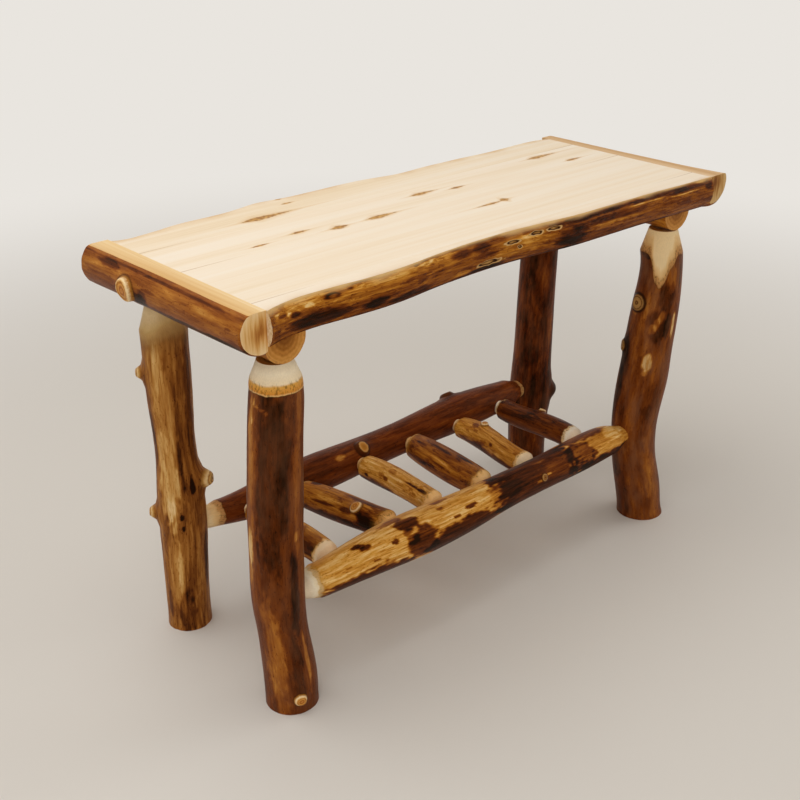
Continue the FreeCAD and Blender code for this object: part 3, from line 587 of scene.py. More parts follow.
def make_live_edge(name, flat_looks, wane_looks, outward, scars=(), patches=(), swells=((0, 0),),
                   seed=0.0):
    """A slab with sawn faces and, along one side, the log's own waney edge.

    Swells push the whole edge out, as (place along in mm, mm outward)."""
    skin = surface_of(name)
    low, high = (np.array(corner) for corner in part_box(name))
    bottom, top = low[2], high[2]
    inner = high[1] if outward < 0 else low[1]
    stations = np.linspace(low[0], high[0], round((high[0] - low[0]) / RING_STEP) + 1)
    lean = np.linspace(0, math.pi, WANE_COUNT + 1)
    levels = (top + bottom) / 2 + (top - bottom) / 2 * np.cos(lean)
    x_grid, z_grid = np.meshgrid(stations, levels, indexing="ij")
    x_inset = np.clip(x_grid, low[0] + END_INSET, high[0] - END_INSET).ravel()
    z_inset = np.clip(z_grid, bottom + END_INSET, top - END_INSET).ravel()
    inward = Vector((0, -outward, 0))
    hits = [skin.ray_cast(Vector((x, outward, z)), inward)[0] for x, z in zip(x_inset, z_inset)]
    body = np.array([hit[1] for hit in hits]).reshape(x_grid.shape)
    run = np.column_stack((x_grid.ravel(), body.ravel(), z_grid.ravel()))
    push = np.zeros(len(run))
    for depth, length, height, sunk, more in WANE_RIDGES:
        push += depth * (rough(run, (length, 0.5, height), seed + more) - sunk)
    push *= 0.4 + 0.6 * np.tile(np.sin(lean), len(stations))
    mark = np.full(len(run), FAR_SHARE)
    for x, z, half_length, half_height, depth in scars:
        share = np.hypot((run[:, 0] / MM - x) / half_length, (run[:, 2] / MM - z) / half_height)
        share += 0.38 * rough(run, SCAR_LUMPS, seed + 6)
        push -= depth * MM * (1 - ease(0.35, 0.95, share))
        push += 0.3 * depth * MM * np.exp(-((share - 1.15) / 0.22) ** 2)
        mark = np.minimum(mark, share)
    push += MM * np.interp(run[:, 0] / MM, *zip(*swells))
    body = body + outward * push.reshape(body.shape)
    sections = []
    for row in body:
        wane = np.column_stack((row, levels))
        corners = [wane[-1], (inner, bottom), (inner, top - EDGE_EASE), (inner + outward * EDGE_EASE, top),
                   wane[0]]
        flats = [straight(*piece) for piece in zip(corners, corners[1:], SLAB_STEPS)]
        sections.append(np.vstack([wane[:-1], *flats]))
    sections = np.array(sections)
    around = sections.shape[1]
    along = np.repeat(stations[:, None], around, axis=1)
    rings = np.dstack((along, sections))
    scar = np.full(along.shape, FAR_SHARE)
    scar[:, :WANE_COUNT + 1] = mark.reshape(body.shape)
    turn = np.zeros(along.shape)
    turn[:, :WANE_COUNT + 1] = lean
    turn = turn.ravel()
    tone = patch_sum(along.ravel(), turn, patches, seed, 0.35)
    flat = rings.reshape(-1, 3)
    waver = rough(flat, RIM_WAVES, seed + 8)
    reach = RIM_TURN * (1.0 + 0.5 * waver) * (1.0 - 0.2 * ease(0.1, 0.25, flat[:, 0]))
    rim = 1.0 - ease(0.15, 1.0, turn / reach + 0.14 * rough(flat, RIM_LUMPS, seed + 9))
    past = abs(sections[:, :, 0] - body[:, :1]).ravel()
    edge = np.exp(-past / RIM_STAIN) * np.clip(0.5 + waver, 0.0, 1.0)
    bands = [0] * WANE_COUNT + [1] * (around - WANE_COUNT)
    values = {"knot": np.full(along.shape, FAR_SHARE), "scar": scar, "tone": tone, "rim": rim, "edge": edge}
    make_skin(name, rings, bands, [wane_looks, flat_looks, BOARD_END], np.dstack((sections, along)),
              values)


# Materials
def new_finish(name):
    """An empty node material."""
    material = bpy.data.materials.new(name)
    material.use_nodes = True
    material.node_tree.nodes.clear()
    return material, material.node_tree


def close_finish(tree, colour, roughness, height, depth, coat=0.0, sheen=0.16):
    """Ends a wood finish in a satin-lacquered shader with its surface relief."""
    normal = add(tree, "ShaderNodeBump", {"Strength": 1.0, "Distance": depth, "Height": height})
    shader = add(tree, "surface", {
        "Base Color": colour, "Roughness": roughness, "IOR": 1.5, "Specular IOR Level": sheen,
        "Specular Tint": linear("#FFB060"), "Coat Weight": coat, "Coat Roughness": 0.25, "Normal": normal})
    add(tree, "material_end", (shader,))


# Drawknife work on the ends of logs, from the dark edge of the peeled part to the tip; the cream, gold, white
# and honey tips are pale bare wood, brightened further as painted light where they sit in shade
CREAM_BARE = ("#4A240C", "#E6B878", "#D68E38", "#E2A850", "#FAE4BC", "#FBEBCB", "#E6D4B4")
TAN_BARE = ("#8E6434", "#926838", "#9E7644", "#C09A60", "#CCAA70", "#E8CE9E", "#D2B688")
GOLD_BARE = ("#5A3616", "#A87442", "#BA8650", "#CA985C", "#DCB074", "#EECA90", "#F6DAA8")
PALE_BARE = ("#C08C40", "#C89A58", "#D2AC74", "#DDBB84", "#F0DCB6", "#F2E4C8", "#E8D6B8")
WHITE_BARE = ("#5A3318", "#C29358", "#DCB884", "#EACC9C", "#FBEBCC", "#FFF6E4", "#FAEBD2")
GOLDEN_BARE = ("#A87430", "#C88E42", "#DCA255", "#EAB668", "#F6C67E", "#FBD090", "#EABB7E")
HONEY_BARE = ("#A87430", "#D89E50", "#E6B068", "#F2C888", "#FFDFAE", "#FFE6C0", "#F4D6AC")
BARE_PLACES = (0.49, 0.505, 0.54, 0.67, 0.71, 0.88, 1.0)

# Sawn branch stubs, from the pith to the dark foot, which is painted shade round the stub's base
STUB_RINGS = ((0.0, "#8A4818"), (0.1, "#D08E46"), (0.22, "#A0581A"), (0.36, "#DA9C4C"), (0.48, "#AE6A26"),
              (0.57, "#E0AE66"), (0.66, "#F4DAAA"), (0.78, "#A8702E"), (0.92, "#38190A"))
DISC_RINGS = ((0.0, "#A86A26"), (0.3, "#C08236"), (0.46, "#D4A05A"), (0.55, "#5A2C10"), (0.92, "#3A1A0A"))
DULL_RINGS = ((0.0, "#3A1A08"), (0.2, "#7A4A20"), (0.35, "#A8743C"), (0.5, "#6A3C18"), (0.62, "#C29458"),
              (0.74, "#7A4C20"), (0.92, "#2E1408"))
EYE_RINGS = ((0.0, "#C49A5E"), (0.08, "#7A4C20"), (0.16, "#4E2C12"), (0.24, "#B08448"), (0.46, "#A67A44"),
             (0.56, "#5E3A1A"), (0.64, "#A27640"), (0.76, "#3A1E0E"), (0.9, "#1E0E06"))
# On the knobs, the cream band at 0.54 is a painted highlight on the flank, and the dark band at 0.78 is
# painted shade near the foot.
KNOB_RINGS = ((0.0, "#2E1608"), (0.08, "#6A401A"), (0.16, "#E0B672"), (0.28, "#7A4A1E"), (0.36, "#DAAE68"),
              (0.46, "#9A6428"), (0.54, "#EACB92"), (0.64, "#D0A058"), (0.78, "#6A3E18"), (0.92, "#A87434"))
BURL_RINGS = ((0.0, "#2A1206"), (0.6, "#34180A"), (0.92, "#1E0E06"))


def log_finish(name, tones, base, seed, cover=0.4, drop=0.16, islands=(30, 100), streaks=(8, 80),
               swing=0.8, lined=0.16, greyed=0.0, bare=CREAM_BARE, fade=0.01, pitted=0.5, rings=STUB_RINGS,
               foot=(1.15, 1.5)):
    """Peeled aspen under satin lacquer, from dark inner bark to bare golden sapwood."""
    # The spud leaves ragged dark bands of inner bark and lets golden wood through, drawn out along the log.
    material, tree = new_finish(name)
    place = add(tree, "painted", out="Vector", attribute_name="place")
    tone, knot, shaved = (add(tree, "painted", attribute_name=key) for key in ("tone", "knot", "shaved"))
    shift = (seed * 1.37, seed * 0.71, seed * 2.13)
    # Width and length in mm, and detail, of islands, bands, fibres, specks, cracks and clouds
    layers = []
    sizes = ((*islands, 7.0), (*streaks, 4.0), (1.2, 35, 2.0), (3, 7, 1.0), (2.4, 60, 1.0), (26, 75, 3.0))
    for width, length, detail in sizes:
        scale = (1 / (width * MM), 1 / (width * MM), 1 / (length * MM))
        space = add(tree, "space", (place, shift, scale))
        layers.append(add(tree, "noise", (space, 1.0, detail, 0.65)))
    isles, bands, fibres, specks, cracks, clouds = layers
    ragged = add(tree, "times_plus", (bands, 0.3, isles))
    middle = 0.65 + (0.5 - cover) * 0.5
    over = add(tree, "smooth", (ragged, middle - BARK_EDGE, middle + BARK_EDGE))
    dots = add(tree, "range", (specks, 0.64, 0.72, 0.0, -0.16))
    lines = add(tree, "range", (cracks, 0.6, 0.7, 0.0, -lined))
    level = add(tree, "times_plus", (bands, swing, base - swing / 2))
    level = add(tree, "times_plus", (over, -drop, level))
    for change in (tone, dots, lines):
        level = add(tree, "plus", (level, change))
    steps = [(number / (len(tones) - 1), shade) for number, shade in enumerate(tones)]
    colour = add(tree, "ramp", (level,), stops=steps)
    thin = add(tree, "range", (clouds, 0.4, 0.62, 0.0, greyed))
    colour = add(tree, "blend", (thin, colour, linear("#7C5238")))

    # The drawknife shows pale wood, golden and pitted where the shaved face runs out.
    uneven = add(tree, "times_plus", (isles, 0.06, -0.03))
    drawn = add(tree, "plus", (shaved, uneven))
    pale = add(tree, "ramp", (drawn,), stops=list(zip(BARE_PLACES, bare)))
    ring = add(tree, "range", (drawn, 0.66, 0.76, 1.0, 0.0))
    pits = add(tree, "range", (specks, 0.5, 0.66, 0.0, -pitted))
    pits = add(tree, "times_plus", (pits, ring, 1.0))
    pale = add(tree, "scaled", (pale, pits))
    cut = add(tree, "smooth", (drawn, 0.49 - fade, 0.49 + fade))
    colour = add(tree, "blend", (cut, colour, pale))

    # A branch was sawn off at each knot: rings of end grain, a pale lip and a dark foot, the foot painted
    # shade round the stub's base.
    worn = add(tree, "times_plus", (specks, 0.16, -0.08))
    worn = add(tree, "plus", (knot, worn))
    share = add(tree, "times", (worn, 1 / KNOT_FOOT))
    rim = add(tree, "ramp", (share,), stops=rings)
    rim_place = add(tree, "smooth", (worn, foot[0], foot[1], 1.0, 0.0))
    colour = add(tree, "blend", (rim_place, colour, rim))
    shade = add(tree, "range", (fibres, 0.3, 0.7, 0.93, 1.06))
    colour = add(tree, "scaled", (colour, shade))
    relief = add(tree, "times_plus", (over, 0.6, fibres))
    close_finish(tree, colour, 0.4, relief, 0.4 * MM, sheen=0.09)
    return material


def end_grain_finish(name, stops, grid, swing):
    """Sawn log end: growth rings round the pith, or long streaks where the log was cut slanting."""
    # Cross-cut aspen grows paler outward; its rings are drawn 8 mm apart, coarser than real, to show.
    material, tree = new_finish(name)
    place = add(tree, "painted", out="Vector", attribute_name="place")
    flat = add(tree, "vector_times", (place, (1.0, 1.0, 0.0)))
    out_from = add(tree, "length", (flat,))
    bands = []
    for share in (1.0, 0.3):
        scale = [share / (size * MM) for size in grid]
        space = add(tree, "space", {"Vector": flat, "Scale": (scale[0], scale[1], 1.0)})
        bands.append(add(tree, "noise", (space, 1.0, 3.0)))
    wobble = add(tree, "times_plus", (bands[1], RING_WOBBLE, out_from))
    turns = add(tree, "times", (wobble, 2 * math.pi / RING_SPACING))
    rings = add(tree, "ShaderNodeMath", {0: turns}, operation="SINE")
    outward = add(tree, "range", (wobble, 0.0, PITH_TO_BARK))
    mixed = add(tree, "times_plus", (rings, swing[0], outward))
    ragged = add(tree, "times_plus", (bands[0], swing[1], -swing[1] / 2))
    mixed = add(tree, "plus", (mixed, ragged))
    colour = add(tree, "ramp", (mixed,), stops=stops)
    close_finish(tree, colour, 0.5, bands[0], 0.2 * MM, 0.03)
    return material


def board_end_finish():
    """Sawn board end: short pale end grain, hidden behind the caps."""
    # Cross-cut aspen is duller and a little browner than the face of the board.
    material, tree = new_finish("board_end_aspen_sawn")
    place = add(tree, "object_place")
    speck = add(tree, "noise", (place, 1 / (4 * MM), 3.0))
    colour = add(tree, "ramp", (speck,), stops=[(0.3, "#C9A878"), (0.5, "#DDC39A"), (0.7, "#E9D5B2")])
    close_finish(tree, colour, 0.5, speck, 0.2 * MM, 0.05)
    return material


def board_knot_group():
    """One knot on a sawn face: how far it pushes the grain aside, its heart and the stain round it."""
    tree, given = new_group("board_knot", "ShaderNodeTree", {
        "Vector": ("Place", "Middle"), "Float": ("Length", "Width", "Tail Left", "Tail Right", "Uneven"),
    }, {"Float": ("Push", "Heart", "Stain")})
    gap = add(tree, "vector_minus", (given["Place"], given["Middle"]))
    parts = add(tree, "split", (gap,)).outputs
    rightward = add(tree, "ShaderNodeMath", {0: parts["X"], 1: 0.0}, operation="GREATER_THAN")
    tail = add(tree, "ShaderNodeMix", {0: rightward, 2: given["Tail Left"], 3: given["Tail Right"]},
               data_type="FLOAT")
    reach = add(tree, "times", (given["Length"], tail))
    gone = add(tree, "divided", (parts["X"], reach))
    gone = add(tree, "unsigned", (gone,))
    narrow = add(tree, "range", (gone, 0.0, 1.0, 1.0, 0.22))
    width = add(tree, "times", (given["Width"], narrow))
    aside = add(tree, "divided", (parts["Y"], width))
    away = add(tree, "join", (gone, aside))
    away = add(tree, "length", (away,))
    away = add(tree, "times_plus", (given["Uneven"], 0.7, away))
    heart = add(tree, "smooth", (away, 0.5, 1.05, 1.0, 0.0))
    stain = add(tree, "smooth", (away, 0.7, 2.4, 1.0, 0.0))
    broad = add(tree, "divided", (parts["Y"], given["Width"]))
    far = add(tree, "times_plus", (broad, broad, 1.0))
    far = add(tree, "times_plus", (gone, gone, far))
    push = add(tree, "divided", (parts["Y"], far))
    add(tree, "NodeGroupOutput", {"Push": push, "Heart": heart, "Stain": stain}, out="node")
    return tree


BOARD_TONES = ("#E9D5B4", "#EFDDC2", "#F1E2CB", "#F2E5D1")
HEART_BROWNS = ((0.34, "#8E5E22"), (0.46, "#A8742C"), (0.54, "#B8863A"), (0.66, "#CA9C52"))
SCAR_STOPS = ((0.0, "#B48A50"), (0.36, "#94662E"), (0.52, "#3A1C0A"), (0.68, "#2A1206"), (0.79, "#C0935A"),
              (0.92, "#D6AE74"), (1.0, "#A87838"))


def sawn_finish(name, knots, seed, tones=BOARD_TONES, along=0, seams=(), stained=0.5):
    """Planed and sanded aspen under satin lacquer, nearly white, with faint grain along the board."""
    # Aspen has low contrast grain: hair lines about 2 mm apart, broad cream bands, brown spike knots.
    material, tree = new_finish(name)
    place = add(tree, "object_place")
    if along == 1:
        place = add(tree, "space", {"Vector": place, "Rotation": (0.0, 0.0, math.pi / 2)})
    uneven_spots = add(tree, "noise", (place, 1 / (7 * MM), 3.0))
    uneven = add(tree, "plus", (uneven_spots, -0.5))
    pushed = hearts = stains = 0.0
    for x, y, length, width, tail_left, tail_right in knots:
        knot = add(tree, "ShaderNodeGroup", {
            "Place": place, "Uneven": uneven, "Middle": (x * MM, y * MM, cad_box[1][2]),
            "Length": length * MM, "Width": width * HEART_SPREAD * MM, "Tail Left": tail_left,
            "Tail Right": tail_right,
        }, out="node", node_tree=KNOT_GROUP).outputs
        pushed = add(tree, "plus", (knot["Push"], pushed))
        hearts = add(tree, "most", (knot["Heart"], hearts))
        stains = add(tree, "most", (knot["Stain"], stains))
    bent = place
    if knots:
        move = add(tree, "times", (pushed, -0.8))
        move = add(tree, "join", (0.0, move))
        bent = add(tree, "vector_plus", (place, move))
    shift = (seed * 1.1, seed * 0.37, seed * 0.5)
    layers = []
    for length, width, detail in ((900, 26, 2.0), (420, 6, 3.0), (160, 1.8, 2.0)):
        scale = (1 / (length * MM), 1 / (width * MM), 1 / (width * MM))
        space = add(tree, "space", (bent, shift, scale))
        layers.append(add(tree, "noise", (space, 1.0, detail)))
    bands, lines, hairs = layers
    mixed = add(tree, "times_plus", (lines, 0.4, -0.27))
    mixed = add(tree, "times_plus", (hairs, 0.15, mixed))
    mixed = add(tree, "plus", (bands, mixed))
    colour = add(tree, "ramp", (mixed,), stops=list(zip((0.22, 0.4, 0.55, 0.75), tones)))
    if knots:
        faint = add(tree, "times", (stains, 0.5))
        colour = add(tree, "blend", (faint, colour, linear("#DDB67A")))
        brown = add(tree, "ramp", (uneven_spots,), stops=HEART_BROWNS)
        colour = add(tree, "blend", (hearts, colour, brown))
    parts = add(tree, "split", (place,)).outputs
    outward = add(tree, "unsigned", (parts["X"],))
    near_end = add(tree, "range", (outward, 0.4, 0.54, 0.0, 0.6))
    for seam in seams:
        gap = add(tree, "plus", (parts["Y"], -seam))
        gap = add(tree, "unsigned", (gap,))
        line = add(tree, "range", (gap, 0.4 * MM, 1.8 * MM, 1.0, 0.0))
        line = add(tree, "times", (line, near_end))
        colour = add(tree, "blend", (line, colour, linear("#A87A44")))
    edge = add(tree, "painted", attribute_name="edge")
    edge = add(tree, "times", (edge, stained))
    colour = add(tree, "blend", (edge, colour, linear("#CFA05E")))
    roughness = add(tree, "range", (lines, 0.0, 1.0, 0.4, 0.5))
    close_finish(tree, colour, roughness, hairs, 0.08 * MM, 0.1)
    return material


def wane_finish(name, tones, base, seed):
    """The log's own outside along a slab: golden sapwood, dark inner bark, scars of lost branches."""
    # Long ridges of brown inner bark lie on golden wood; scars have a pale lip and a dark slit.
    material = log_finish(name, tones, base, seed, 0.4, 0.18, (12, 60), (4, 60))
    tree = material.node_tree
    shader = next(node for node in tree.nodes if node.type == "BSDF_PRINCIPLED")
    before = shader.inputs["Base Color"].links[0].from_socket
    scar = add(tree, "painted", attribute_name="scar")
    lip = add(tree, "ramp", (scar,), stops=SCAR_STOPS)
    here = add(tree, "smooth", (scar, 0.96, 1.12, 1.0, 0.0))
    colour = add(tree, "blend", (here, before, lip))
    rim = add(tree, "painted", attribute_name="rim")
    colour = add(tree, "blend", (rim, colour, linear("#E0BA7E")))
    tree.links.new(colour, shader.inputs["Base Color"])
    return material


def steel_finish():
    """Zinc-plated steel, rolled and pressed: grey, softly mirrored, faintly clouded."""
    # Plating is a cool grey that handling clouds; the clouds are some 2.5 mm wide.
    material, tree = new_finish("steel_zinc_plated")
    place = add(tree, "object_place")
    cloud = add(tree, "noise", (place, 1 / (2.5 * MM), 4.0))
    colour = add(tree, "ramp", (cloud,), stops=[(0.3, "#8E9094"), (0.7, "#B9BBBE")])
    roughness = add(tree, "range", (cloud, 0.0, 1.0, 0.28, 0.45))
    normal = add(tree, "ShaderNodeBump", {"Strength": 1.0, "Distance": 0.05 * MM, "Height": cloud})
    shader = add(tree, "surface", {"Base Color": colour, "Metallic": 1.0, "Roughness": roughness,
                                  "Normal": normal})
    add(tree, "material_end", (shader,))
    return material


def dowel_finish():
    """Turned beech dowel, left raw: pinkish tan with short dark flecks along its length."""
    # Rays show as dark flecks about 3 mm long; the turned surface is dull.
    material, tree = new_finish("beech_dowel_turned")
    place = add(tree, "object_place")
    space = add(tree, "space", {"Vector": place, "Scale": (1 / (3 * MM), 1 / (3 * MM), 1 / (0.8 * MM))})
    fleck = add(tree, "noise", (space, 1.0, 3.0))
    colour = add(tree, "ramp", (fleck,), stops=[(0.3, "#B07C52"), (0.5, "#CFA278"), (0.7, "#DDB88F")])
    close_finish(tree, colour, 0.6, fleck, 0.1 * MM)
    return material


LOG_TREE = peeled_log_tree()
KNOT_GROUP = board_knot_group()
BOARD_END = board_end_finish()
RING_STOPS = [(0.0, "#743E12"), (0.35, "#925A20"), (0.6, "#B87A34"), (0.85, "#D4984C"), (1.0, "#AC723A")]
STREAK_STOPS = [(0.15, "#AA6C30"), (0.4, "#CE9650"), (0.6, "#E2B676"), (0.85, "#ECCA96")]
BROWN_STOPS = [(0.15, "#7A4618"), (0.4, "#A06C32"), (0.6, "#BC8E50"), (0.85, "#D4AE74")]
END_GRAIN = end_grain_finish("end_grain_aspen_sawn", RING_STOPS, (6, 6), (0.07, 0.35))
SLANT_GRAIN = end_grain_finish("slant_end_grain_aspen_sawn", STREAK_STOPS, (5, 60), (0.0, 1.2))
BROWN_GRAIN = end_grain_finish("brown_end_grain_aspen_sawn", BROWN_STOPS, (6, 40), (0.0, 1.2))

# Tones of the peeled logs, from the darkest inner bark to the palest sapwood
WARM = ("#1A0A03", "#371606", "#552509", "#763B0F", "#985819", "#BA7826", "#DA9F47", "#F1CD8A")
RUSSET = ("#1A0903", "#371507", "#54230A", "#733510", "#914F19", "#AF6C26", "#CC9244", "#E8C284")
DUSKY = ("#1A0903", "#381807", "#55260B", "#733912", "#91521D", "#AF6F2B", "#CC9346", "#E8C284")
TAN = ("#1E0E06", "#42200C", "#653614", "#87501F", "#A66D30", "#C08B48", "#D6AA68", "#ECCB96")


# Top: two sawn boards between two slabs with a live edge
# A knot is its place, half its length and width in mm, and how far its tails run to the left and right
WIDE_KNOTS = ((126, -60, 13, 8, 1.0, 1.1), (92, -62, 26, 3.4, 2.0, 1.2))
MIDDLE_KNOTS = (
    (-277, 43, 11, 4.4, 2.2, 2.6), (-368, 29.5, 8, 3, 3.0, 3.0), (-207, 18, 16, 7.5, 1.5, 1.6),
    (-120, 18, 30, 7, 1.0, 2.0), (34, 75, 26, 6, 1.0, 2.0), (118, 59.5, 22, 4, 1.0, 1.2),
    (396, 109.5, 27, 6.5, 1.0, 2.8), (436, 48.5, 16, 4.5, 1.0, 2.6),
)
BACK_KNOTS = ((-284, 154, 42, 9, 1.0, 2.4), (-187, 197, 12, 3, 1.0, 2.0), (-181, 228, 10, 3, 1.0, 1.0))
SEAMS = [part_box(name)[1][1] for name in ("top_slab_front", "top_plank_wide", "top_plank_middle")]
ASPEN_WIDE = sawn_finish("aspen_planed_wide", WIDE_KNOTS, 1.0, seams=SEAMS[:2])
ASPEN_MIDDLE = sawn_finish("aspen_planed_middle", MIDDLE_KNOTS, 2.0, seams=SEAMS[1:])
ASPEN_FRONT = sawn_finish("aspen_planed_front", (), 3.0, seams=SEAMS[:1])
BACK_TONES = ("#E0C8A0", "#EAD5B4", "#EEDCC0", "#F0E2CC")
ASPEN_BACK = sawn_finish("aspen_planed_back", BACK_KNOTS, 4.0, BACK_TONES, seams=SEAMS[2:], stained=0.9)
CAP_TONES = ("#D9AE70", "#E7C68E", "#EFD5A8", "#F4E0BC")
DULL_TONES = ("#BA8E56", "#C9A06C", "#D4AE7E", "#DDBD92")
ASPEN_CAP = sawn_finish("aspen_planed_cap_left", (), 5.0, CAP_TONES, 1, stained=0.85)
ASPEN_DULL = sawn_finish("aspen_planed_cap_right", (), 6.0, DULL_TONES, 1)
WANE_FRONT = wane_finish("live_edge_aspen_front", WARM, 0.54, 1.5)
WANE_BACK = wane_finish("live_edge_aspen_back", TAN, 0.5, 2.5)

make_plank("top_plank_wide", ASPEN_WIDE, 1.0)
make_plank("top_plank_middle", ASPEN_MIDDLE, 2.0)
FRONT_SCARS = ((-62, 720, 36, 5, 2.0), (-8, 744, 20, 4, 1.6), (50, 749, 18, 4, 1.6), (92, 750, 20, 3.6, 1.6),
               (10, 733, 6, 3.5, 1.2))
# The thin pale patches at 350 and 450 mm, turn 55 to 62, are painted highlights along a ridge, and the pale
# spot at -455 mm is a painted highlight.
FRONT_PATCHES = (
    (-470, 38, 55, 24, 0.28), (-440, 115, 60, 26, -0.45), (-330, 118, 24, 18, -0.5),
    (-300, 40, 110, 16, 0.22), (-250, 130, 60, 16, -0.3), (-225, 80, 60, 20, -0.06),
    (-175, 40, 50, 12, 0.22), (-130, 55, 24, 16, -0.3), (-75, 55, 22, 16, -0.28),
    (-125, 130, 20, 12, 0.15), (-60, 140, 45, 12, -0.35), (10, 85, 60, 34, 0.18), (60, 60, 40, 10, 0.18),
    (140, 105, 36, 40, -0.36), (200, 40, 110, 12, -0.32), (250, 72, 90, 12, -0.2),
    (230, 92, 110, 7, 0.14), (200, 130, 110, 22, -0.14), (420, 42, 120, 12, -0.28),
    (350, 55, 60, 3.5, 0.32), (450, 62, 60, 3.5, 0.34), (420, 100, 120, 30, -0.05), (505, 28, 14, 9, 0.3),
    (525, 60, 12, 14, -0.4), (-510, 62, 8, 8, -0.35), (-486, 75, 9, 9, -0.4), (-497, 68, 5, 6, 0.3),
    (-236, 30, 7, 6, -0.5), (-375, 42, 6, 5, -0.35), (0, 168, 560, 18, -0.25), (-412, 50, 15, 12, -0.55),
    (-410, 52, 9, 7, 0.5), (-455, 62, 9, 6, 0.35), (-330, 70, 200, 26, 0.1),
)
make_live_edge("top_slab_front", ASPEN_FRONT, WANE_FRONT, -1, FRONT_SCARS, FRONT_PATCHES,
               seed=1.0)
BACK_SWELLS = ((-545, 7), (-521, 13), (-488, 12), (-444, 3), (-408, 2), (-330, 4), (-260, 4), (-181, 6),
               (-114, 9), (-14, 4), (100, 4), (165, 4), (230, 1), (305, 3), (440, 5), (545, 1))
make_live_edge("top_slab_back", ASPEN_BACK, WANE_BACK, 1, swells=BACK_SWELLS, seed=2.0)

# End caps and cross rails: logs sawn flat where they meet the boards
board_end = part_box("top_plank_wide")[1][0]
board_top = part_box("top_plank_wide")[1][2]
board_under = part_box("top_plank_wide")[0][2]
CAP_LEFT = log_finish("peeled_aspen_cap_left", DUSKY, 0.58, 3.1, 0.3, 0.14, streaks=(11, 90), lined=0.1,
                      greyed=0.12)
CAP_RIGHT = log_finish("peeled_aspen_cap_right", WARM, 0.56, 4.1, 0.3)
RAIL_LEFT = log_finish("peeled_aspen_rail_left", WARM, 0.5, 5.1, 0.25)
RAIL_RIGHT = log_finish("peeled_aspen_rail_right", WARM, 0.68, 6.1, 0.3)
# The dark patches near turn 215 to 222 along the underside are partly dark inner bark and partly painted
# shade; the dark patch at 62 mm, turn 202, is partly dark bark and partly painted shadow of the stub.
CAP_PATCHES = (
    (-100, 165, 110, 25, 0.04), (40, 150, 50, 10, -0.06), (62, 202, 24, 18, -0.5),
    (20, 190, 30, 10, 0.08), (-100, 222, 120, 14, -0.25), (170, 200, 50, 30, -0.12),
    (150, 158, 50, 10, 0.12), (0, 136, 200, 4, -0.25), (-190, 215, 40, 20, -0.2), (-190, 168, 8, 4, -0.2),
    (148, 146, 34, 9, -0.28), (46, 184, 13, 13, -0.28), (28, 170, 20, 4, -0.2), (-60, 158, 90, 10, 0.1),
    (-60, 216, 160, 9, -0.22), (120, 172, 40, 7, 0.1),
)
make_half_log("end_cap_left", CAP_LEFT, ASPEN_CAP, SLANT_GRAIN, ((140, 280),), (80, 350),
              ((0, 1, board_top), (1, 0, -board_end)), ((92, 188, 19, 9),), CAP_PATCHES, (6, 2, 1), seed=1.0)
make_half_log("end_cap_right", CAP_RIGHT, ASPEN_DULL, BROWN_GRAIN, ((-100, 40),), (-170, 100),
              ((0, 1, board_top), (-1, 0, -board_end)), rounded=(120, 4, 16), seed=2.0)
for name, looks, seed in (("cross_rail_left", RAIL_LEFT, 3.0), ("cross_rail_right", RAIL_RIGHT, 4.0)):
    make_half_log(name, looks, ASPEN_DULL, END_GRAIN, ((182, 212), (328, 358)), (130, 410),
                  ((0, 1, board_under),), seed=seed)

# Legs
LEG_FACTS = {"axis": 2, "thinnest": 25 * MM, "sides": 120}
CROWN = ((608, 1, 84),)
LONG_CROWN = ((600, 1, 150),)
BULGE = ((0, 0.6), (7, 2.4), (15, 3.4), (32, 1.4), (50, 0))
LEG_FL = log_finish("peeled_aspen_leg_front_left", DUSKY, 0.42, 7.1, 0.5, 0.1, streaks=(16, 110), swing=0.7,
                    lined=0.07, greyed=0.22)
LEG_BL = log_finish("peeled_aspen_leg_back_left", TAN, 0.5, 8.1, 0.3, 0.12, bare=TAN_BARE, fade=0.2,
                    pitted=0.0, rings=KNOB_RINGS, foot=(0.6, 1.3))
LEG_FR = log_finish("peeled_aspen_leg_front_right", DUSKY, 0.44, 9.1, 0.4, 0.1, streaks=(20, 100), lined=0.05,
                    greyed=0.45, bare=GOLD_BARE, fade=0.03, rings=EYE_RINGS)
LEG_BR = log_finish("peeled_aspen_leg_back_right", RUSSET, 0.37, 10.1, 0.5, 0.16, streaks=(14, 90), swing=1.2,
                    lined=0.07, greyed=0.2, rings=BURL_RINGS, foot=(0.4, 1.3))
# The dark patch at 250 mm, turn 272, is painted shade.
make_log("leg_front_left", slot="dark_log", looks=LEG_FL, knots=((32, 252, 10, 9),), seed=1.0, patches=(
    (470, 225, 150, 34, -0.2), (520, 255, 90, 22, -0.08), (440, 172, 160, 12, 0.18),
    (335, 170, 36, 9, 0.34), (300, 160, 50, 12, 0.26), (140, 208, 100, 24, 0.21), (60, 215, 60, 20, 0.1),
    (250, 272, 80, 12, -0.3), (470, 285, 160, 10, 0.13), (500, 180, 110, 15, 0.16),
    (170, 190, 40, 8, -0.15), (105, 284, 60, 5, 0.36), (100, 258, 60, 12, -0.15),
    (335, 194, 20, 3, -0.25), (357, 279, 10, 5, 0.26), (597, 182, 5, 2.5, 0.3), (591, 181, 4, 3, 0.3),
    (587, 189, 2.5, 6, 0.3), (584, 203, 2.5, 7, 0.3), (579, 213, 4, 4, 0.3), (562, 178, 6, 3, 0.26)),
         shaved=CROWN, profile=BULGE, ragged=1.5, soft=0.22, **LEG_FACTS)
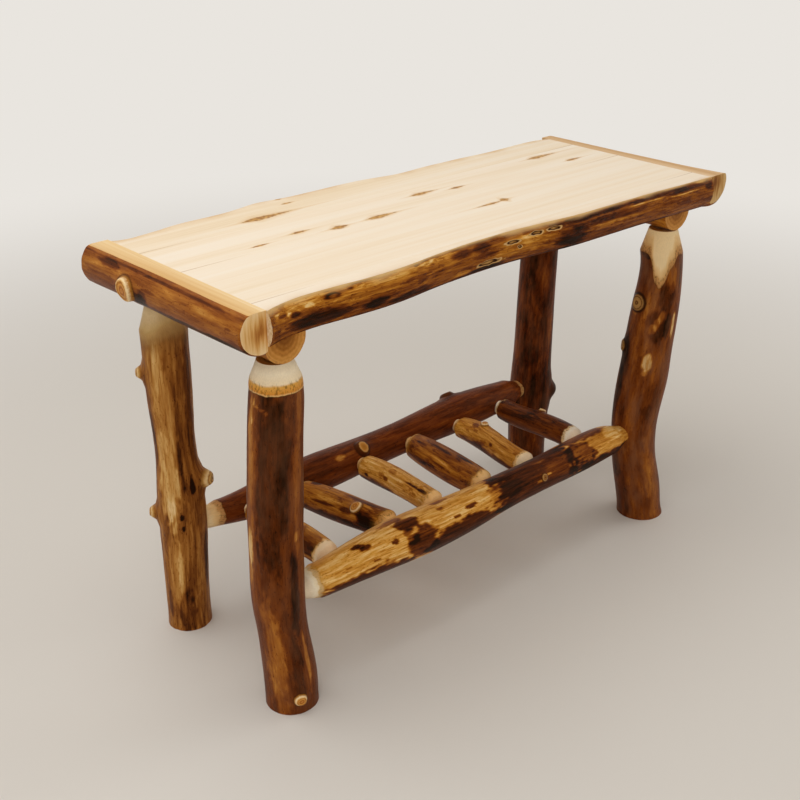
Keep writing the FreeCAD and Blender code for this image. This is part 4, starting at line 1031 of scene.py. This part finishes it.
make_log("leg_back_left", slot="tan_log", looks=LEG_BL, seed=2.0, flutes=(12, 1.6), knots=(
    (526, 144, 12, 14), (242, 143, 13, 16), (312, 314, 17, 22)), patches=(
    (430, 212, 190, 30, 0.14), (330, 208, 90, 30, 0.14), (150, 212, 90, 18, 0.12),
    (480, 168, 60, 14, -0.1), (400, 165, 60, 16, -0.18), (470, 250, 140, 8, -0.05),
    (500, 290, 150, 12, -0.14), (350, 246, 70, 6, -0.16), (310, 270, 18, 7, -0.55),
    (40, 234, 50, 22, -0.26), (30, 275, 50, 14, -0.12), (150, 262, 60, 5, -0.16), (60, 185, 30, 10, -0.2),
    (150, 305, 60, 8, -0.3), (250, 236, 8, 6, -0.5), (226, 238, 6, 5, -0.45), (262, 214, 20, 14, 0.12),
    (420, 280, 210, 36, -0.1), (555, 212, 50, 10, 0.14), (110, 250, 60, 8, -0.12), (110, 226, 80, 7, 0.2),
    (120, 275, 110, 8, 0.1)),
         shaved=LONG_CROWN, tongues=((180, 45, 16),), ragged=4.0, flank=(0.4, 1.3), soft=0.18, **LEG_FACTS)
# The dark patches at 604 mm, under the crown's edge, and at 140 mm, under the stretcher, are painted shadow;
# the thin pale patch at 462 mm, turn 270, is a painted highlight.
make_log("leg_front_right", slot="dark_log", looks=LEG_FR, seed=3.0, knots=(
    (503, 166, 16, 5), (404, 138, 12, 6)), patches=(
    (604, 172, 7, 20, -0.35), (487, 165, 10, 10, 0.15), (495, 195, 34, 5, 0.16), (463, 228, 36, 22, -0.2),
    (464, 252, 28, 7, -0.3), (481, 235, 14, 7, 0.3), (466, 225, 12, 7, 0.26), (455, 215, 10, 9, 0.26),
    (462, 270, 26, 5, 0.58), (330, 146, 110, 18, -0.22), (90, 268, 90, 22, 0.1), (60, 170, 80, 22, -0.12),
    (385, 218, 20, 11, 0.5), (362, 216, 7, 6, 0.3), (515, 203, 30, 13, 0.14), (425, 190, 50, 25, 0.1),
    (400, 250, 60, 18, 0.06), (360, 155, 60, 18, -0.25), (290, 240, 40, 25, -0.08),
    (560, 250, 26, 14, 0.16), (150, 250, 80, 12, 0.12), (140, 160, 40, 20, -0.22),
    (580, 165, 40, 25, -0.06), (520, 240, 30, 24, -0.18), (562, 279, 30, 4, -0.25)),
         shaved=CROWN, tongues=((212, 22, 40), (207, 13, 20), (236, 22, 26)), ragged=3.0, soft=0.2,
         **LEG_FACTS)
make_log("leg_back_right", slot="dark_log", looks=LEG_BR, knots=((193, 318, 24, 15),), seed=4.0, patches=(
    (470, 200, 30, 14, -0.2), (340, 205, 60, 14, -0.15), (260, 230, 60, 12, -0.18),
    (300, 262, 120, 8, -0.1), (430, 180, 40, 20, 0.12), (300, 160, 20, 25, 0.15),
    (460, 230, 60, 25, 0.06)),
         shaved=CROWN, flank=(0.1, 1.2), **LEG_FACTS)

# Stretchers
STRETCHER_FACTS = {"axis": 0, "thinnest": 17.5 * MM, "sides": 96}
STRETCHER_FRONT = log_finish("peeled_aspen_stretcher_front", WARM, 0.86, 11.1, 0.14, 0.24, (9, 34), (6, 70),
                             bare=PALE_BARE, fade=0.15, pitted=0.2, rings=DULL_RINGS)
STRETCHER_BACK = log_finish("peeled_aspen_stretcher_back", RUSSET, 0.37, 12.1, 0.4, 0.08, lined=0.1,
                            greyed=0.08, bare=GOLD_BARE, rings=DISC_RINGS)
# The dark patches at turn 200 to 226, at -100, -340 and 320 mm, are painted shade along the underside.
make_log("stretcher_front", slot="golden_log", looks=STRETCHER_FRONT, knots=((123, 161, 7, 3),), patches=(
    (-343, 104, 11, 7, -0.6), (-335, 112, 9, 5, -0.5), (-327, 121, 12, 7, -0.6), (-266, 141, 8, 6, -0.6),
    (-317, 164, 9, 2.6, -0.45), (-228, 111, 27, 18, -0.6), (-250, 82, 30, 10, -0.3),
    (-234, 133, 14, 9, -0.35), (-205, 172, 34, 40, -0.55), (-228, 150, 16, 14, -0.4),
    (-100, 200, 100, 42, -0.65), (-340, 226, 120, 40, -0.65), (-73, 134, 16, 5.5, -0.65),
    (-114, 144, 9, 5, -0.5), (-140, 107, 9, 5, -0.3), (-128, 80, 22, 6, -0.35), (-375, 150, 7, 3, -0.25),
    (-185, 128, 12, 5, 0.1), (15, 150, 40, 60, -0.14), (110, 150, 115, 230, -0.62),
    (175, 150, 40, 34, 0.14), (136, 157, 9, 3.5, 0.4), (108, 167, 8, 3.5, 0.34), (132, 102, 15, 3, 0.24),
    (213, 162, 5, 9, 0.34), (276, 162, 11, 10, -0.4), (270, 80, 70, 26, -0.42), (262, 98, 14, 3, 0.25),
    (340, 150, 90, 60, -0.08), (320, 222, 110, 36, -0.7), (236, 152, 36, 60, -0.34),
    (352, 118, 26, 34, 0.16)),
         shaved=((-431, -1, 40),), soft=0.16, seed=5.0, **STRETCHER_FACTS)
# The pale patch at -124 mm, turn 131, is a painted highlight.
make_log("stretcher_back", slot="red_brown_log", looks=STRETCHER_BACK, knots=(
    (-64, 130, 14, 10), (225, 46, 15, 10)), patches=(
    (-124, 131, 13, 8, 0.4), (-95, 130, 26, 5, 0.2), (-62, 125, 10, 26, 0.2), (-190, 140, 40, 30, -0.08)),
         shaved=((-405, -1, 60), (416, 1, 60)), seed=6.0, **STRETCHER_FACTS)

# Shelf slats, from the left end of the table: slot, base tone, length in mm of the front and back tip, tone
# of the tips, knots, patches
SLAT_FACTS = {"axis": 1, "thinnest": 12 * MM, "sides": 72, "lumps": (45, 1.5), "flutes": (9, 0.7)}
SLATS = (
    ("dark_log", 0.6, 50, 30, HONEY_BARE, (), ((-75, 155, 60, 28, -0.35), (-60, 62, 50, 22, 0.16))),
    ("dark_log", 0.64, 36, 37, GOLDEN_BARE, ((-48, 124, 10, 8),), (
        (-28, 150, 15, 14, -0.35), (-86, 168, 24, 24, -0.6), (-72, 142, 20, 14, -0.4),
        (-50, 86, 60, 12, -0.25), (20, 132, 40, 9, 0.16), (51, 85, 4, 4, 0.35), (86, 75, 11, 18, -0.5),
        (36, 152, 32, 6, -0.4), (15, 62, 30, 14, 0.12), (-10, 210, 110, 26, -0.35))),
    ("golden_log", 0.83, 44, 33, GOLDEN_BARE, (), (
        (82, 180, 5, 7, -0.6), (23, 156, 8, 9, -0.45), (15, 112, 11, 16, -0.2), (-57, 124, 18, 5, -0.5),
        (-85, 121, 14, 8, -0.7), (60, 224, 66, 34, -0.55), (-40, 244, 80, 26, -0.55))),
    ("red_brown_log", 0.54, 42, 40, GOLDEN_BARE, (), (
        (-57, 83, 22, 8, -0.45), (-88, 52, 16, 10, -0.3), (16, 100, 34, 6, -0.35), (60, 180, 60, 6, -0.3),
        (70, 118, 16, 5, -0.3), (20, 140, 60, 7, 0.16), (-40, 150, 50, 6, 0.16))),
    ("golden_log", 0.76, 46, 30, HONEY_BARE, ((34, 80, 8, 7),), (
        (-20, 205, 110, 24, -0.45), (50, 108, 10, 14, -0.3), (-25, 150, 6, 6, -0.45),
        (-70, 60, 24, 3, -0.35), (-40, 120, 30, 3, -0.2))),
    ("dark_log", 0.36, 52, 35, WHITE_BARE, ((6, 48, 8, 7),), ((40, 150, 50, 20, -0.15),)),
)
for number, (slot, base, front_tip, back_tip, bare, knots, patches) in enumerate(SLATS, 1):
    name = f"shelf_slat_{number}"
    looks = log_finish(f"peeled_aspen_slat_{number}", WARM, base, 12.0 + number, 0.34, 0.22, (18, 50),
                       (6, 60), bare=bare, fade=0.3 if bare == GOLDEN_BARE else 0.08)
    low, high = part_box(name)
    ends = ((low[1] / MM + front_tip, -1, 40), (high[1] / MM - back_tip, 1, 40))
    make_log(name, slot=slot, looks=looks, knots=knots, patches=patches, shaved=ends, seed=6.0 + number,
             **SLAT_FACTS)

# Dowels, screws and washers keep their solids
DOWEL = dowel_finish()
STEEL = steel_finish()
for name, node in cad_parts.items():
    kind = DOWEL if "dowels" in name else STEEL if "screws" in name or "washers" in name else None
    if kind is not None:
        node.data.materials.clear()
        node.data.materials.append(kind)

# Floor, light and camera
PALE_GROUND = linear("#E9E5DF")
FLOOR_REACH = 40.0
FLOOR_FADE = (0.9, 3.2)


def looked_at(tree):
    """1 for the eye and for reflections, 0 for light on its way to the table."""
    rays = add(tree, "ShaderNodeLightPath", out="node").outputs
    seen = add(tree, "most", (rays["Is Camera Ray"], rays["Is Glossy Ray"]))
    return add(tree, "most", (seen, rays["Is Transmission Ray"]))


floor_mesh = bpy.data.meshes.new("floor")
floor_corners = [(x * FLOOR_REACH, y * FLOOR_REACH, 0) for x, y in ((-1, -1), (1, -1), (1, 1), (-1, 1))]
floor_mesh.from_pydata(floor_corners, [], [(0, 1, 2, 3)])
floor = bpy.data.objects.new("floor", floor_mesh)
scene.collection.objects.link(floor)
material, tree = new_finish("floor_matt_paint")
shader = add(tree, "surface", {"Base Color": linear("#DDD8D0"), "Roughness": 0.8})
# Far from the table the floor runs out into an even pale ground, for the eye and for reflections only
position = add(tree, "ShaderNodeNewGeometry", out="Position")
away = add(tree, "length", (position,))
far = add(tree, "smooth", (away, *FLOOR_FADE))
far = add(tree, "times", (far, looked_at(tree)))
pale = add(tree, "ShaderNodeEmission", {"Color": PALE_GROUND, "Strength": 1.0})
ground = add(tree, "ShaderNodeMixShader", {0: far, 1: shader, 2: pale})
add(tree, "material_end", (ground,))
floor_mesh.materials.append(material)

world = bpy.data.worlds.new("studio")
scene.world = world
world.use_nodes = True
world.node_tree.nodes.clear()
tree = world.node_tree
light = add(tree, "ShaderNodeBackground", {"Color": linear("#FFF8F0"), "Strength": 0.45})
backdrop = add(tree, "ShaderNodeBackground", {"Color": PALE_GROUND, "Strength": 1.0})
sky = add(tree, "ShaderNodeMixShader", {0: looked_at(tree), 1: light, 2: backdrop})
add(tree, "ShaderNodeOutputWorld", {"Surface": sky}, out="node")

LAMPS = (
    ("key", (-0.9, 0.4, 3.0), (0.0, 0.0, 0.6), (2.6, 2.0), 37.5),
    ("fill", (-2.6, -2.4, 2.0), (0.0, 0.0, 0.4), (2.2, 2.2), 25.0),
    ("rim", (2.6, -1.2, 2.2), (0.0, 0.0, 0.5), (1.8, 1.8), 14.0),
)
for name, place, target, size, power in LAMPS:
    data = bpy.data.lights.new(name, "AREA")
    data.shape = "RECTANGLE"
    data.size, data.size_y = size
    data.energy = power
    lamp = bpy.data.objects.new(name, data)
    lamp.location = place
    lamp.rotation_euler = (Vector(target) - Vector(place)).to_track_quat("-Z", "Y").to_euler()
    scene.collection.objects.link(lamp)

# Camera fitted to the feet and the corners of the top in the photograph
HEADING, PITCH, ROLL = 0.730618565, 0.442116995, 0.00542897
FOCAL_SHARE = 1247.0 / 800.0
SENSOR = 36.0
EYE = (-1.522190, -1.606616, 1.417362)
forward = Vector((math.sin(HEADING) * math.cos(PITCH), math.cos(HEADING) * math.cos(PITCH), -math.sin(PITCH)))
level = Vector((math.cos(HEADING), -math.sin(HEADING), 0.0))
downward = forward.cross(level)
rightward = level * math.cos(ROLL) + downward * math.sin(ROLL)
lowered = downward * math.cos(ROLL) - level * math.sin(ROLL)
camera_data = bpy.data.cameras.new("camera")
camera_data.sensor_width = SENSOR
camera_data.lens = SENSOR * FOCAL_SHARE
camera = bpy.data.objects.new("camera", camera_data)
pose = Matrix((rightward, -lowered, -forward)).transposed().to_4x4()
pose.translation = EYE
camera.matrix_world = pose
scene.collection.objects.link(camera)
scene.camera = camera
scene.view_settings.view_transform = "Standard"
